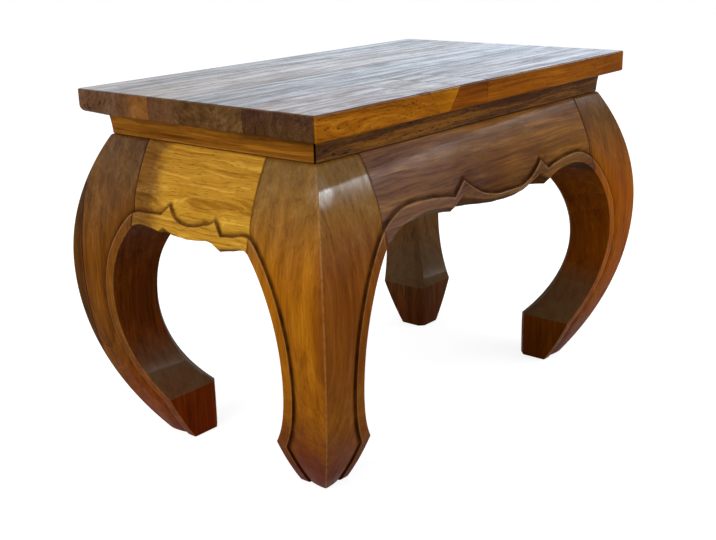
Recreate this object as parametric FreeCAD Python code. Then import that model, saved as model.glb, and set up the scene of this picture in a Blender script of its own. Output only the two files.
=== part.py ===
import FreeCAD, Part
import math
import os
from collections import namedtuple

Vector = FreeCAD.Vector

# Low table: a boarded top on a recessed neck, four scalloped aprons and four curled legs.
# X runs along the long side, Y along the short side and Z up.
# The origin is on the floor, under the middle of the table.
# An inset is measured inwards from the body line, which is the outer face of the neck.

# Top
top_length = 600.0
top_width = 354.0
top_thickness = 24.0
top_corner_round = 4.0
top_edge_chamfer = 1.5
top_under_round = 5.0
back_board_width = 68.0
middle_back_board_width = 93.0
middle_front_board_width = 98.0
key_offset = -99.0
key_top_width = 56.0
key_bottom_width = 18.0
front_joint_offset = -20.0
edge_dowel_diameter = 8.0
edge_dowel_length = 40.0
edge_dowel_shares = (-0.6, 0.0, 0.6)
rod_sides = 8

# Neck
neck_inset = 21.5
neck_height = 27.5
neck_thickness = 22.0
neck_cove_depth = 2.5
neck_mitre_gap = 0.8

# Legs, with the outward swell that the aprons share; heights are shares of the leg's
leg_height = 364.0
leg_head = 67.0
shoulder_inset = 2.0
knee_bulge = 38.0
knee_share = 0.59
foot_inset = 30.5
toe_share = 0.165
hollow_inset = 25.2
hollow_share = 0.4725
inner_chamfer = 4.0
toe_chamfer = 7.0
cheek_thickness = 19.0
post_width = 34.0
stub_width = 20.0
stub_length = 12.0

# Aprons
apron_inset = 20.0
apron_end_share = 0.2475
tenon_inset = 6.0
tenon_thickness = 11.0
tenon_length = 32.0
tenon_height = 48.0
tenon_drop = 18.0

# Scalloped lower edges, as falls below the top of the arch and shares of the half span
long_arch_rise = 15.5
long_cusp_share = 0.465
long_cusp_fall = 10.0
long_lobe_share = 0.31
long_lobe_end_fall = 6.5
long_lobe_fall = 9.0
short_arch_rise = 2.5
short_cusp_share = 0.53
short_cusp_fall = 4.0
short_lobe_share = 0.36
short_lobe_end_fall = 0.2
short_lobe_fall = 1.5

# Undercut along their front, drawn where arch and leg meet, with a nick beside each cusp
long_front_arch_rise = 25.5
long_front_cusp_fall = 9.8
long_nick_share = 0.38
long_nick_rise = 1.9
long_front_lobe_fall = 14.5
short_front_arch_rise = 6.1
short_front_cusp_fall = 4.3
short_nick_share = 0.46
short_nick_rise = 1.8
short_front_lobe_fall = 2.2
undercut_slope_share = 1.0

# Carved line above the raised rim, measured the same way from its own arch
long_carved_arch_rise = 20.5
short_carved_arch_rise = 5.0
rim_width = 12.0
groove_width = 4.0
groove_depth = 2.5
long_carved_cusp_fall = 7.5
long_carved_peak_share = 0.385
long_carved_peak_rise = 8.5
long_carved_lobe_fall = 18.8
short_carved_cusp_fall = 3.1
short_carved_peak_share = 0.41
short_carved_peak_rise = 9.7
short_carved_lobe_fall = 4.0

# Dowels and screws in the neck
neck_dowel_diameter = 8.0
neck_dowel_length = 28.0
neck_dowel_share = 0.45
screw_diameter = 4.0
screw_head_diameter = 8.0
screw_head_depth = 3.0
screw_length = 40.0
screw_share = 0.75

# Clearances
slip_play = 0.15
end_play = 0.5
overrun = 10.0

# Derived places
reach_x = top_length / 2 - neck_inset
reach_y = top_width / 2 - neck_inset
top_under = leg_height + neck_height
top_face = top_under + top_thickness
fastener_inset = neck_thickness / 2
post_centre_inset = neck_thickness + slip_play + post_width / 2
knee_height = knee_share * leg_height
hollow_height = hollow_share * leg_height
toe_height = toe_share * leg_height
spring_height = (1 - apron_end_share) * leg_height
long_span = reach_x - leg_head
short_span = reach_y - leg_head

Scallop = namedtuple("Scallop", "arch_rise cusp_share cusp_fall end_share end_fall lobe_fall")
long_edge = Scallop(long_arch_rise, long_cusp_share, long_cusp_fall,
                    long_lobe_share, long_lobe_end_fall, long_lobe_fall)
short_edge = Scallop(short_arch_rise, short_cusp_share, short_cusp_fall,
                     short_lobe_share, short_lobe_end_fall, short_lobe_fall)
long_front = Scallop(long_front_arch_rise, long_cusp_share, long_front_cusp_fall,
                     long_nick_share, -long_nick_rise, long_front_lobe_fall)
short_front = Scallop(short_front_arch_rise, short_cusp_share, short_front_cusp_fall,
                      short_nick_share, -short_nick_rise, short_front_lobe_fall)
long_carved = Scallop(long_carved_arch_rise, long_cusp_share, long_carved_cusp_fall,
                      long_carved_peak_share, -long_carved_peak_rise, long_carved_lobe_fall)
short_carved = Scallop(short_carved_arch_rise, short_cusp_share, short_carved_cusp_fall,
                       short_carved_peak_share, -short_carved_peak_rise, short_carved_lobe_fall)


def export(name, shape):
    """Write one piece, or one group of like pieces, to its own file."""
    if shape.isNull() or not shape.isValid():
        raise RuntimeError(name + " is not a valid solid")
    shape.exportStep("parts/" + name + ".step")
    print(name, len(shape.Solids), round(shape.Volume))


def box(low, high):
    """Block between two opposite corners."""
    size = high.sub(low)
    return Part.makeBox(size.x, size.y, size.z, low)


def turned(shape):
    """Copy turned a quarter about Z, which takes the long side's frame to the short side's."""
    copy = shape.copy()
    copy.rotate(Vector(0, 0, 0), Vector(0, 0, 1), 90)
    return copy


def flipped(shape, across_x, across_y):
    """Copy mirrored across the YZ plane, the XZ plane or both."""
    copy = shape
    if across_x:
        copy = copy.mirror(Vector(0, 0, 0), Vector(1, 0, 0))
    if across_y:
        copy = copy.mirror(Vector(0, 0, 0), Vector(0, 1, 0))
    return copy


def plan_prism(points, low, high):
    """Solid of a straight-sided XY outline carried up from low to high."""
    face = Part.Face(Part.Wire(corners(points)))
    face.translate(Vector(0, 0, low))
    return face.extrude(Vector(0, 0, high - low))


def prism(edges, low, high):
    """Solid of an XZ outline carried along Y from low to high."""
    face = Part.Face(Part.Wire(Part.__sortEdges__(edges)))
    face.translate(Vector(0, low, 0))
    return face.extrude(Vector(0, high - low, 0))


def corners(points):
    """Straight edges joining the points of a closed outline."""
    return Part.makePolygon(points + [points[0]]).Edges


def line(start, end):
    return Part.LineSegment(start, end).toShape()


def upright_arc(crown, end):
    """Arc that leaves its crown upright and ends at the other point."""
    run = end.x - crown.x
    rise = end.z - crown.z
    radius = (run * run + rise * rise) / (2 * run)
    half_turn = math.asin(rise / abs(radius)) / 2
    middle = Vector(crown.x + radius * (1 - math.cos(half_turn)), 0,
                    crown.z + abs(radius) * math.sin(half_turn))
    return Part.Arc(crown, middle, end).toShape()


def level_arc(crown, end):
    """Arc that leaves its crown level and ends at the other point."""
    run = end.x - crown.x
    fall = end.z - crown.z
    radius = (run * run + fall * fall) / (2 * fall)
    half_turn = math.asin(run / abs(radius)) / 2
    middle = Vector(crown.x + abs(radius) * math.sin(half_turn), 0,
                    crown.z + radius * (1 - math.cos(half_turn)))
    return Part.Arc(crown, middle, end).toShape()


def mirrored_x(edges):
    """The edges and their mirror images across the YZ plane."""
    return edges + [edge.mirror(Vector(0, 0, 0), Vector(1, 0, 0)) for edge in edges]


def swell_outline(reach, depth):
    """Outer outline of the base seen along a side: two arcs a side that meet upright at the knee."""
    foot = Vector(reach - foot_inset - depth, 0, 0)
    knee = Vector(reach + knee_bulge - depth, 0, knee_height)
    shoulder = Vector(reach - shoulder_inset - depth, 0, leg_height)
    sides = mirrored_x([upright_arc(knee, foot), upright_arc(knee, shoulder)])
    floor_line = line(foot, Vector(-foot.x, 0, 0))
    head_line = line(shoulder, Vector(-shoulder.x, 0, leg_height))
    return sides + [floor_line, head_line]


def swell_prism(depth):
    """Swelling block whose front and back are the long sides' outer faces, sunk by depth."""
    length = top_length + top_width
    return turned(prism(swell_outline(reach_y, depth), -length, length))


def short_swell_prism(depth):
    """Swelling block whose ends are the short sides' outer faces, sunk by depth."""
    length = top_length + top_width
    return prism(swell_outline(reach_x, depth), -length, length)


def hollow_arc_frame(reach, end_height):
    """Centre and radius of the leg's inner arc from its crown to the edge of the leg head."""
    run = leg_head - hollow_inset
    rise = end_height - hollow_height
    radius = (run * run + rise * rise) / (2 * run)
    return Vector(reach - hollow_inset - radius, 0, hollow_height), radius


def spring_frame(reach, offset):
    """Place where arch and leg meet, moved into the wood by the offset, and the spoke towards it."""
    high_centre, high_radius = hollow_arc_frame(reach, spring_height)
    spoke = (Vector(reach - leg_head, 0, spring_height).sub(high_centre)) * (1 / high_radius)
    return high_centre.add(spoke * (high_radius + offset)), spoke


def edge_curve(reach, scallop, offset):
    """Half of a scalloped edge from the leg to the middle: arch, cusp, straight and middle lobe.

    The offset moves the arch into the wood, so the same function draws the carved line."""
    span = reach - leg_head
    spring, spoke = spring_frame(reach, offset)
    radius = scallop.arch_rise / (1 - spoke.z) + offset
    centre = spring.sub(spoke * radius)
    half_turn = math.atan2(spoke.x, spoke.z) / 2
    middle = centre.add(Vector(math.sin(half_turn), 0, math.cos(half_turn)) * radius)
    top = centre.add(Vector(0, 0, radius))
    cusp = Vector(span * scallop.cusp_share, 0, top.z - scallop.cusp_fall)
    lobe_end = Vector(span * scallop.end_share, 0, top.z - scallop.end_fall)
    lobe = Vector(0, 0, top.z - scallop.lobe_fall)
    return [Part.Arc(spring, middle, top).toShape(),
            level_arc(top, cusp),
            line(cusp, lobe_end),
            level_arc(lobe, lobe_end)]


def opening_outline(reach, scallop, offset):
    """Outline of the space under one side: toes, leg hollows and the scalloped edge, moved by offset."""
    crown = Vector(reach - hollow_inset + offset, 0, hollow_height)
    low_centre, low_radius = hollow_arc_frame(reach, toe_height)
    toe_x = reach - leg_head + offset
    toe_reach = toe_x - low_centre.x
    toe_top = Vector(toe_x, 0, hollow_height - math.sqrt((low_radius + offset) ** 2 - toe_reach ** 2))
    toe = Vector(toe_x, 0, 0)
    half = [line(toe, toe_top),
            upright_arc(crown, toe_top),
            upright_arc(crown, spring_frame(reach, offset)[0])]
    return mirrored_x(half + edge_curve(reach, scallop, offset)) + [line(toe, Vector(-toe_x, 0, 0))]


def groove_cutter(reach, half_depth, carved, core):
    """Groove along the raised rim, cut from one pair of faces as far as the core."""
    wide = prism(opening_outline(reach, carved, rim_width + groove_width), -half_depth, half_depth)
    narrow = prism(opening_outline(reach, carved, rim_width), -half_depth, half_depth)
    return wide.cut(narrow).cut(core)


def swell_reach(height):
    """How far the outer face stands out from the body line at a height above the knee."""
    run = knee_bulge + shoulder_inset
    rise = leg_height - knee_height
    radius = (run * run + rise * rise) / (2 * run)
    return knee_bulge - radius + math.sqrt(radius * radius - (height - knee_height) ** 2)


def undercut_cutters(reach, face_reach, front):
    """What slopes the two edges' undersides down and inwards from the front line."""
    spring = spring_frame(reach, 0)[0]
    floor_z = spring.z - front.arch_rise
    upper = mirrored_x(edge_curve(reach, front, 0))
    sides = mirrored_x([line(spring, Vector(spring.x, 0, floor_z))])
    face = Part.Face(Part.Wire(Part.__sortEdges__(
        upper + sides + [line(Vector(spring.x, 0, floor_z), Vector(-spring.x, 0, floor_z))])))
    slope = Vector(0, -1, -undercut_slope_share)
    face.translate(Vector(0, face_reach + swell_reach(spring.z), 0) - slope * overrun)
    cutter = face.extrude(slope * (2 * apron_inset + overrun))
    return [cutter, flipped(cutter, False, True)]


def make_base_blank():
    """The whole swelling base as one block, hollowed, scalloped and carved."""
    past = neck_inset + knee_bulge + overrun
    envelope = short_swell_prism(0).common(swell_prism(0))
    long_opening = prism(opening_outline(reach_x, long_edge, 0), -reach_y - past, reach_y + past)
    short_opening = prism(opening_outline(reach_y, short_edge, 0), -reach_x - past, reach_x + past)
    long_groove = groove_cutter(reach_x, reach_y + past, long_carved, swell_prism(groove_depth))
    short_groove = groove_cutter(reach_y, reach_x + past, short_carved, turned(short_swell_prism(groove_depth)))
    long_cutters = [long_opening, long_groove] + undercut_cutters(reach_x, reach_y, long_front)
    short_cutters = [short_opening, short_groove] + undercut_cutters(reach_y, reach_x, short_front)
    return envelope.cut(long_cutters + [turned(cutter) for cutter in short_cutters])


def chamfer_cutter():
    """What comes off the inner arris of the leg at the right and back, from toe to head.

    It is drawn across the leg's diagonal, where insets are longer by the root of two."""
    stretch = math.sqrt(2)
    toe_x = toe_chamfer / stretch - leg_head * stretch
    head_x = inner_chamfer / stretch - leg_head * stretch
    crown = Vector(inner_chamfer / stretch - hollow_inset * stretch, 0, hollow_height)
    toe_top = Vector(toe_x, 0, toe_height)
    spring = Vector(head_x, 0, spring_height)
    inner_x = toe_x - leg_head
    edges = [line(Vector(toe_x, 0, 0), toe_top), upright_arc(crown, toe_top), upright_arc(crown, spring),
             line(spring, Vector(head_x, 0, leg_height)),
             line(Vector(head_x, 0, leg_height), Vector(inner_x, 0, leg_height)),
             line(Vector(inner_x, 0, leg_height), Vector(inner_x, 0, 0)),
             line(Vector(inner_x, 0, 0), Vector(toe_x, 0, 0))]
    cutter = prism(edges, -leg_head, leg_head)
    cutter.rotate(Vector(0, 0, 0), Vector(0, 0, 1), 45)
    cutter.translate(Vector(reach_x, reach_y, 0))
    return cutter


def tenon_heights(play):
    """Underside and upper side of every tenon, or with play of its mortise."""
    upper = leg_height - tenon_drop
    return upper - tenon_height - play, upper + play


def tenon_block(play, end):
    """Tenon at the right end of the back apron, or with play its mortise in the leg."""
    under, upper = tenon_heights(play)
    outer = reach_y - tenon_inset
    return box(Vector(long_span - overrun, outer - tenon_thickness - play, under),
               Vector(long_span + tenon_length + end, outer + play, upper))


def short_tenon_block(play, end):
    """Tenon at the back end of the right apron, or with play its mortise in the leg."""
    under, upper = tenon_heights(play)
    outer = reach_x - tenon_inset
    return box(Vector(outer - tenon_thickness - play, short_span - overrun, under),
               Vector(outer + play, short_span + tenon_length + end, upper))


def post_block(width, low, high):
    """Square block on the leg's post axis at the right and back."""
    centre = Vector(reach_x - post_centre_inset, reach_y - post_centre_inset, 0)
    half = Vector(width / 2, width / 2, 0)
    return box(centre - half + Vector(0, 0, low), centre + half + Vector(0, 0, high))


def ring(diameter, height):
    """Level ring of straight sides, for rods and screws."""
    radius = diameter / 2
    turns = [2 * math.pi * side / rod_sides for side in range(rod_sides)]
    points = [Vector(radius * math.cos(turn), radius * math.sin(turn), height) for turn in turns]
    return Part.Wire(corners(points))


def standing_rods(places, diameter, low, high):
    """Upright faceted rods at the given places."""
    rods = []
    for x, y in places:
        rod = Part.Face(ring(diameter, low)).extrude(Vector(0, 0, high - low))
        rod.translate(Vector(x, y, 0))
        rods.append(rod)
    return rods


def neck_dowel_places():
    """Two dowels a rail, in the apron below it."""
    quarter = [(neck_dowel_share * long_span, reach_y - fastener_inset),
               (reach_x - fastener_inset, neck_dowel_share * short_span)]
    return [(x * side, y * end) for x, y in quarter for side in (-1, 1) for end in (-1, 1)]


def screw_places():
    """Three screws in each long rail and one in each short rail."""
    places = [(share * long_span, (reach_y - fastener_inset) * end)
              for share in (-screw_share, 0, screw_share) for end in (-1, 1)]
    return places + [((reach_x - fastener_inset) * side, 0) for side in (-1, 1)]


def neck_dowels(play, end):
    """Dowels between the neck and the base, or with play their holes."""
    half = neck_dowel_length / 2 + end
    return standing_rods(neck_dowel_places(), neck_dowel_diameter + 2 * play,
                         leg_height - half, leg_height + half)


def screws(play):
    """Countersunk screws from under the neck up into the top, or with play their holes."""
    shank = screw_diameter + 2 * play
    shoulder = leg_height + screw_head_depth
    rings = [ring(screw_head_diameter + 2 * play, leg_height), ring(shank, shoulder),
             ring(shank, leg_height + screw_length + play)]
    group = []
    for x, y in screw_places():
        screw = Part.makeLoft(rings, True, True)
        screw.translate(Vector(x, y, 0))
        group.append(screw)
    return group


def make_leg(blank):
    """Leg at the right and back: its core with post, stub and mortises, and the cheek glued outside."""
    past = knee_bulge + overrun
    corner = box(Vector(long_span, short_span, 0), Vector(reach_x + past, reach_y + past, leg_height))
    leg = blank.common(corner).cut(chamfer_cutter())
    cheek_plane = reach_y + knee_bulge - cheek_thickness
    outside = box(Vector(0, cheek_plane, 0), Vector(reach_x + past, reach_y + past, leg_height))
    cheek = leg.common(outside)
    post = post_block(post_width, leg_height - overrun, top_under)
    stub = post_block(stub_width, top_under - overrun, top_under + stub_length)
    core = leg.cut(outside).fuse([post, stub]).removeSplitter()
    return core.cut([tenon_block(slip_play, end_play), short_tenon_block(slip_play, end_play)]), cheek


def make_long_apron(blank):
    """Back apron with a tenon at each end."""
    slab = box(Vector(-long_span, reach_y - apron_inset, 0),
               Vector(long_span, reach_y + knee_bulge + overrun, leg_height))
    tenon = tenon_block(0, 0)
    apron = blank.common(slab).fuse([tenon, flipped(tenon, True, False)]).removeSplitter()
    return apron.cut(neck_dowels(slip_play, end_play))


def make_short_apron(blank):
    """Right apron with a tenon at each end."""
    slab = box(Vector(reach_x - apron_inset, -short_span, 0),
               Vector(reach_x + knee_bulge + overrun, short_span, leg_height))
    tenon = short_tenon_block(0, 0)
    apron = blank.common(slab).fuse([tenon, flipped(tenon, False, True)]).removeSplitter()
    return apron.cut(neck_dowels(slip_play, end_play))


def make_neck_rail(reach, half_length):
    """Neck rail at the +X side of its frame: a coved section, mitred at both ends."""
    inner = reach - neck_thickness
    foot = Vector(reach, 0, leg_height)
    top = Vector(reach, 0, top_under)
    cove = Vector(reach - neck_cove_depth, 0, (leg_height + top_under) / 2)
    section = [Part.Arc(foot, cove, top).toShape(), line(top, Vector(inner, 0, top_under)),
               line(Vector(inner, 0, top_under), Vector(inner, 0, leg_height)),
               line(Vector(inner, 0, leg_height), foot)]
    pull = neck_mitre_gap / math.sqrt(2)
    outer_y = half_length - pull
    inner_y = outer_y - neck_thickness
    plan = [Vector(reach, -outer_y, 0), Vector(reach, outer_y, 0),
            Vector(inner, inner_y, 0), Vector(inner, -inner_y, 0)]
    return prism(section, -half_length, half_length).common(plan_prism(plan, leg_height, top_under))


def board_joints():
    """Y of the three glued joints between the boards, from the back."""
    back = top_width / 2 - back_board_width
    middle = back - middle_back_board_width
    return back, middle, middle - middle_front_board_width


def edge_dowels(play, end):
    """Dowels across the board joints at the middle of the top's thickness, or with play their holes."""
    half = edge_dowel_length / 2 + end
    height = top_under + top_thickness / 2
    group = []
    for joint_y in board_joints():
        for share in edge_dowel_shares:
            rod = Part.Face(ring(edge_dowel_diameter + 2 * play, -half)).extrude(Vector(0, 0, 2 * half))
            rod.rotate(Vector(0, 0, 0), Vector(1, 0, 0), 90)
            rod.translate(Vector(share * top_length / 2, joint_y, height))
            group.append(rod)
    return group


def top_section(half_width):
    """Outline of the top seen along a side: chamfered above and rounded under."""
    upper = Vector(half_width - top_edge_chamfer, 0, top_face)
    side_top = Vector(half_width, 0, top_face - top_edge_chamfer)
    side_low = Vector(half_width, 0, top_under + top_under_round)
    lower = Vector(half_width - top_under_round, 0, top_under)
    half = [line(upper, side_top), line(side_top, side_low), level_arc(lower, side_low)]
    across = [line(upper, Vector(-upper.x, 0, top_face)), line(lower, Vector(-lower.x, 0, top_under))]
    return mirrored_x(half) + across


def make_top_blank():
    """The whole top as one rounded slab, with its blind holes."""
    half_x = top_length / 2
    half_y = top_width / 2
    slab = box(Vector(-half_x, -half_y, top_under), Vector(half_x, half_y, top_face))
    upright = [edge for edge in slab.Edges if edge.BoundBox.ZLength > top_thickness / 2]
    slab = slab.makeFillet(top_corner_round, upright)
    slab = slab.common(prism(top_section(half_x), -half_y, half_y))
    slab = slab.common(turned(prism(top_section(half_y), -half_x, half_x)))
    stub = post_block(stub_width + 2 * slip_play, top_under - overrun, top_under + stub_length + end_play)
    sides = (False, True)
    mortises = [flipped(stub, across_x, across_y) for across_x in sides for across_y in sides]
    return slab.cut(mortises + screws(slip_play) + edge_dowels(slip_play, end_play))


def strip(slab, low, high):
    """Board of the top between two Y places."""
    return slab.common(box(Vector(-top_length, low, leg_height),
                           Vector(top_length, high, top_face + overrun)))


def front_lengths(board):
    """The front board's four lengths: left, wedge-shaped key, middle and right."""
    half_top = key_top_width / 2
    half_under = key_bottom_width / 2
    cuts = [(-top_length, -top_length),
            (key_offset - half_top, key_offset - half_under),
            (key_offset + half_top, key_offset + half_under),
            (front_joint_offset, front_joint_offset),
            (top_length, top_length)]
    lengths = []
    for left, right in zip(cuts, cuts[1:]):
        outline = [Vector(left[1], 0, top_under), Vector(right[1], 0, top_under),
                   Vector(right[0], 0, top_face), Vector(left[0], 0, top_face)]
        lengths.append(board.common(prism(corners(outline), -top_width, 0)))
    return lengths


def export_top():
    slab = make_top_blank()
    back, middle, front = board_joints()
    half_y = top_width / 2
    export("top_board_back", strip(slab, back, half_y))
    export("top_board_middle_back", strip(slab, middle, back))
    export("top_board_middle_front", strip(slab, front, middle))
    places = ("left", "key", "middle", "right")
    for place, length in zip(places, front_lengths(strip(slab, -half_y, front))):
        export("top_board_front_" + place, length)
    export("top_edge_dowels", Part.makeCompound(edge_dowels(0, 0)))
    export("top_screws", Part.makeCompound(screws(0)))


def export_neck():
    holes = neck_dowels(slip_play, end_play) + screws(slip_play)
    short_rail = make_neck_rail(reach_x, reach_y).cut(holes)
    long_rail = turned(make_neck_rail(reach_y, reach_x)).cut(holes)
    export("neck_rail_right", short_rail)
    export("neck_rail_left", flipped(short_rail, True, False))
    export("neck_rail_back", long_rail)
    export("neck_rail_front", flipped(long_rail, False, True))
    export("neck_dowels", Part.makeCompound(neck_dowels(0, 0)))


def export_base():
    blank = make_base_blank()
    long_apron = make_long_apron(blank)
    short_apron = make_short_apron(blank)
    export("apron_back", long_apron)
    export("apron_front", flipped(long_apron, False, True))
    export("apron_right", short_apron)
    export("apron_left", flipped(short_apron, True, False))
    core, cheek = make_leg(blank)
    for across_y, end in ((True, "front"), (False, "back")):
        for across_x, side in ((True, "left"), (False, "right")):
            export("leg_" + end + "_" + side, flipped(core, across_x, across_y))
            export("leg_cheek_" + end + "_" + side, flipped(cheek, across_x, across_y))


if __name__ == "__main__":
    os.makedirs("parts", exist_ok=True)
    export_top()
    export_neck()
    export_base()
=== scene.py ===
import math

import bpy
import numpy as np
from mathutils import Matrix, Vector


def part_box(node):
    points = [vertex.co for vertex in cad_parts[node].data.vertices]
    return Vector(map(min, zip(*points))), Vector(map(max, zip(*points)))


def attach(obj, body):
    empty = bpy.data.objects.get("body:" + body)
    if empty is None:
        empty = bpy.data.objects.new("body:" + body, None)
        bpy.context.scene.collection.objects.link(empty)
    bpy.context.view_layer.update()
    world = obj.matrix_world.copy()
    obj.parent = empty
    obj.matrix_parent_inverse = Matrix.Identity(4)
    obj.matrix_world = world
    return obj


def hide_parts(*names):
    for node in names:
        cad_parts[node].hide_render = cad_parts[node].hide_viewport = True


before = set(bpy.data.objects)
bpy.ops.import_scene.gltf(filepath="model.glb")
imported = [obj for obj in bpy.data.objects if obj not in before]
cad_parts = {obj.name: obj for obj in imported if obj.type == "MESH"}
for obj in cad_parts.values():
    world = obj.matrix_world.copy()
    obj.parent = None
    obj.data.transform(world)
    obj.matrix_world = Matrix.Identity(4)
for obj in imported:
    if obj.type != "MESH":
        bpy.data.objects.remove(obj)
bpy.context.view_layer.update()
mm = 0.001
print("frame loaded")

# Main lines of the table, read from the CAD nodes. An inset runs inwards from the neck's outer face.
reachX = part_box("neck_rail_right")[1].x
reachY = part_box("neck_rail_back")[1].y
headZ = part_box("neck_rail_right")[0].z
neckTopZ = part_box("neck_rail_right")[1].z
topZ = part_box("top_board_back")[1].z
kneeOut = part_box("leg_back_right")[1].x - reachX
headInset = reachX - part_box("leg_back_right")[0].x
spanX = reachX - headInset
spanY = reachY - headInset

legShape = {
    "kneeShare": 0.59,          # heights are shares of the leg's height
    "hollowShare": 0.4725,
    "toeShare": 0.165,
    "springShare": 0.7525,
    "footInset": 30.5 * mm,
    "shoulderInset": 2.0 * mm,
    "hollowInset": 25.2 * mm,
    "innerChamfer": 4.0 * mm,
    "toeChamfer": 7.0 * mm,
    "cornerRound": 1.8 * mm,    # the outer arris, worn round
    "edgeRound": 1.0 * mm,
    "jointEase": 0.35 * mm,     # the same edge where an apron joins
    "footEase": 1.2 * mm,
    "headEase": 0.6 * mm,
    "shoulderRound": 2.6 * mm,
    "shoulderFall": 0.7,        # how much of a full round the shoulder is
    "postInset": 39.15 * mm,
    "postHalf": 17.0 * mm,
    "step": 3.5 * mm,           # between rows
    "lastStop": 16.0 * mm,      # a row is kept this far above the carved line's higher exit
    "handWhole": 0.6,           # share of the toe's height up to which a leg's own difference is whole
}
carving = {
    "rim": 12.0 * mm,           # the raised rim along every edge of the openings
    "depth": 3.4 * mm,          # how far the field is cut down beside the rim
    "wall": 0.7 * mm,
    "slope": 22.0 * mm,         # the field comes back up over this width
    "slopePower": 2.4,
    "slopeMost": 0.7,           # of the field, where a leg is narrow
    "rimLeast": 0.1 * mm,
    "lip": 1.3 * mm,            # rounded inner edge of the rim
    "lipFall": 0.5 * mm,
    "exitIn": 0.4 * mm,         # how far inside the joint the line leaves a leg
    "exitLean": 0.16,           # above that, how fast the rows that follow it draw back from the joint
}
# Where lacquer gathers and shade is painted, and where edges wear and highlights are painted
ageMarks = {
    "seamOnRim": 0.5 * mm,      # dark lacquer and painted shade beside a carved line, on its rim and in its field
    "seamFrom": 0.6 * mm,
    "seamInField": 6.0 * mm,
    "besideJoint": 1.2 * mm,
    "paintedLipHighlight": 0.9,             # painted highlight along the rim's inner edge
    "lipAt": 0.8 * mm,
    "lipReach": 1.0 * mm,
    "legEdge": 0.5,             # wear along a leg's inner edges and an apron's front arris, wear and a painted highlight across a leg's arris
    "apronEdge": 0.6,
    "legArris": (0.2, 0.7, 1, 0.6, 0.1),
}
kneeZ = legShape["kneeShare"] * headZ
hollowZ = legShape["hollowShare"] * headZ
toeZ = legShape["toeShare"] * headZ
springZ = legShape["springShare"] * headZ


def smoothStep(t):
    # 3 t^2 - 2 t^3 of t held between 0 and 1
    t = np.clip(t, 0, 1)
    return t * t * (3 - 2 * t)


def fade(gap, reach):
    # 1 where the gap is nothing, smoothly down to 0 where it is the reach
    return 1 - smoothStep(gap / reach)


def wide(column, count):
    # The same column so many times side by side
    return column * np.ones((1, count))


def joinAcross(*parts):
    # Parts of every row, one after another
    return np.concatenate(parts, axis=1)


def between(marks, steps):
    # Columns from each mark to the next, at each stretch's own shares of the way
    return joinAcross(*[start + (end - start) * share for start, end, shares in zip(marks, marks[1:], steps)
                        for share in shares])


def spread(stops, step, tight=()):
    # Values from the first stop to the last at about the given step, with every stop kept, and close ones
    # at the tight places
    runs = [np.linspace(a, b, max(2, int(math.ceil((b - a) / step)) + 1)) for a, b in zip(stops, stops[1:])]
    extra = [at + np.array([-2, -0.8, -0.3, 0.3, 0.8, 2]) * mm for at in tight]
    values = np.unique(np.round(np.concatenate(runs + extra), 7))
    return values[(values >= stops[0]) & (values <= stops[-1])]


def roundDrop(gap, radius):
    # How far a rounded edge falls at a distance inside it: R - sqrt(R^2 - (R - gap)^2)
    return radius - np.sqrt(np.maximum(radius ** 2 - (radius - np.clip(gap, 0, radius)) ** 2, 0))


def arcRadius(run, rise):
    # Radius of an arc square to its run at one end, from its run and rise: (run^2 + rise^2) / (2 run)
    return (run * run + rise ** 2) / (2 * run)


def uprightArc(z, crownInset, crownZ, endInset, endZ, offset=0.0):
    # Inset of an arc that stands upright at its crown: crown + R - sqrt((R + offset)^2 - (z - crownZ)^2)
    radius = arcRadius(endInset - crownInset, endZ - crownZ)
    return crownInset + radius - np.sqrt(np.maximum((radius + offset) ** 2 - (z - crownZ) ** 2, 0))


def levelArc(x, crownX, crownZ, endX, endZ):
    # Height of an arc that lies level at its crown: crownZ + R - sign(R) sqrt(R^2 - (x - crownX)^2)
    radius = arcRadius(endZ - crownZ, endX - crownX)
    return crownZ + radius - np.sign(radius) * np.sqrt(np.maximum(radius ** 2 - (x - crownX) ** 2, 0))


def outerInset(z):
    # Outer face of legs and aprons: an arc from knee to foot, one from knee to shoulder, the shoulder's round
    low = uprightArc(z, -kneeOut, kneeZ, legShape["footInset"], 0)
    high = uprightArc(z, -kneeOut, kneeZ, legShape["shoulderInset"], headZ)
    shoulder = legShape["shoulderFall"] * roundDrop(headZ - z, legShape["shoulderRound"])
    return np.where(z < kneeZ, low, high + shoulder)


def hollowArc(z, offset=0.0):
    # Inner edge of the legs: an arc from its crown down to the toe and one up to where the apron springs
    low = uprightArc(z, legShape["hollowInset"], hollowZ, headInset, toeZ, offset)
    high = uprightArc(z, legShape["hollowInset"], hollowZ, headInset, springZ, offset)
    return np.where(z < hollowZ, low, high)


def innerInset(z):
    # The same, upright below the toe's top and above the spring
    return np.where((z > toeZ) & (z < springZ), hollowArc(z), headInset)


hollowRun = headInset - legShape["hollowInset"]
lowRadius = arcRadius(hollowRun, toeZ - hollowZ)
highRadius = arcRadius(hollowRun, springZ - hollowZ)
spokeUp = (springZ - hollowZ) / highRadius
spokeOut = math.sqrt(1 - spokeUp ** 2)


def archFrame(rise):
    # The arch over the leg's inner edge: its radius, and its centre as a way past the span's end and a height
    radius = rise / (1 - spokeUp)
    return radius, spokeOut * radius, springZ - spokeUp * radius


def legCarvedInset(z, rise):
    # Inset of the carved line on a leg, which is the inner edge moved into the wood by the rim's width and
    # then runs along the joint, and the height where it leaves the leg
    rim, joint = carving["rim"], headInset - carving["exitIn"]
    radius, back, centreZ = archFrame(rise)
    arc = hollowArc(z, rim)
    low = np.minimum(arc, headInset - rim)
    arch = headInset + back - np.sqrt(np.maximum((radius + rim) ** 2 - (z - centreZ) ** 2, 0))
    line = np.where(z < hollowZ, low, np.where(z < hollowZ + spokeUp * (highRadius + rim), arc, arch))
    exitZ = centreZ + math.sqrt((radius + rim) ** 2 - back ** 2)
    return np.where(z < exitZ, np.minimum(line, joint), joint - carving["exitLean"] * (z - exitZ)), exitZ


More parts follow.
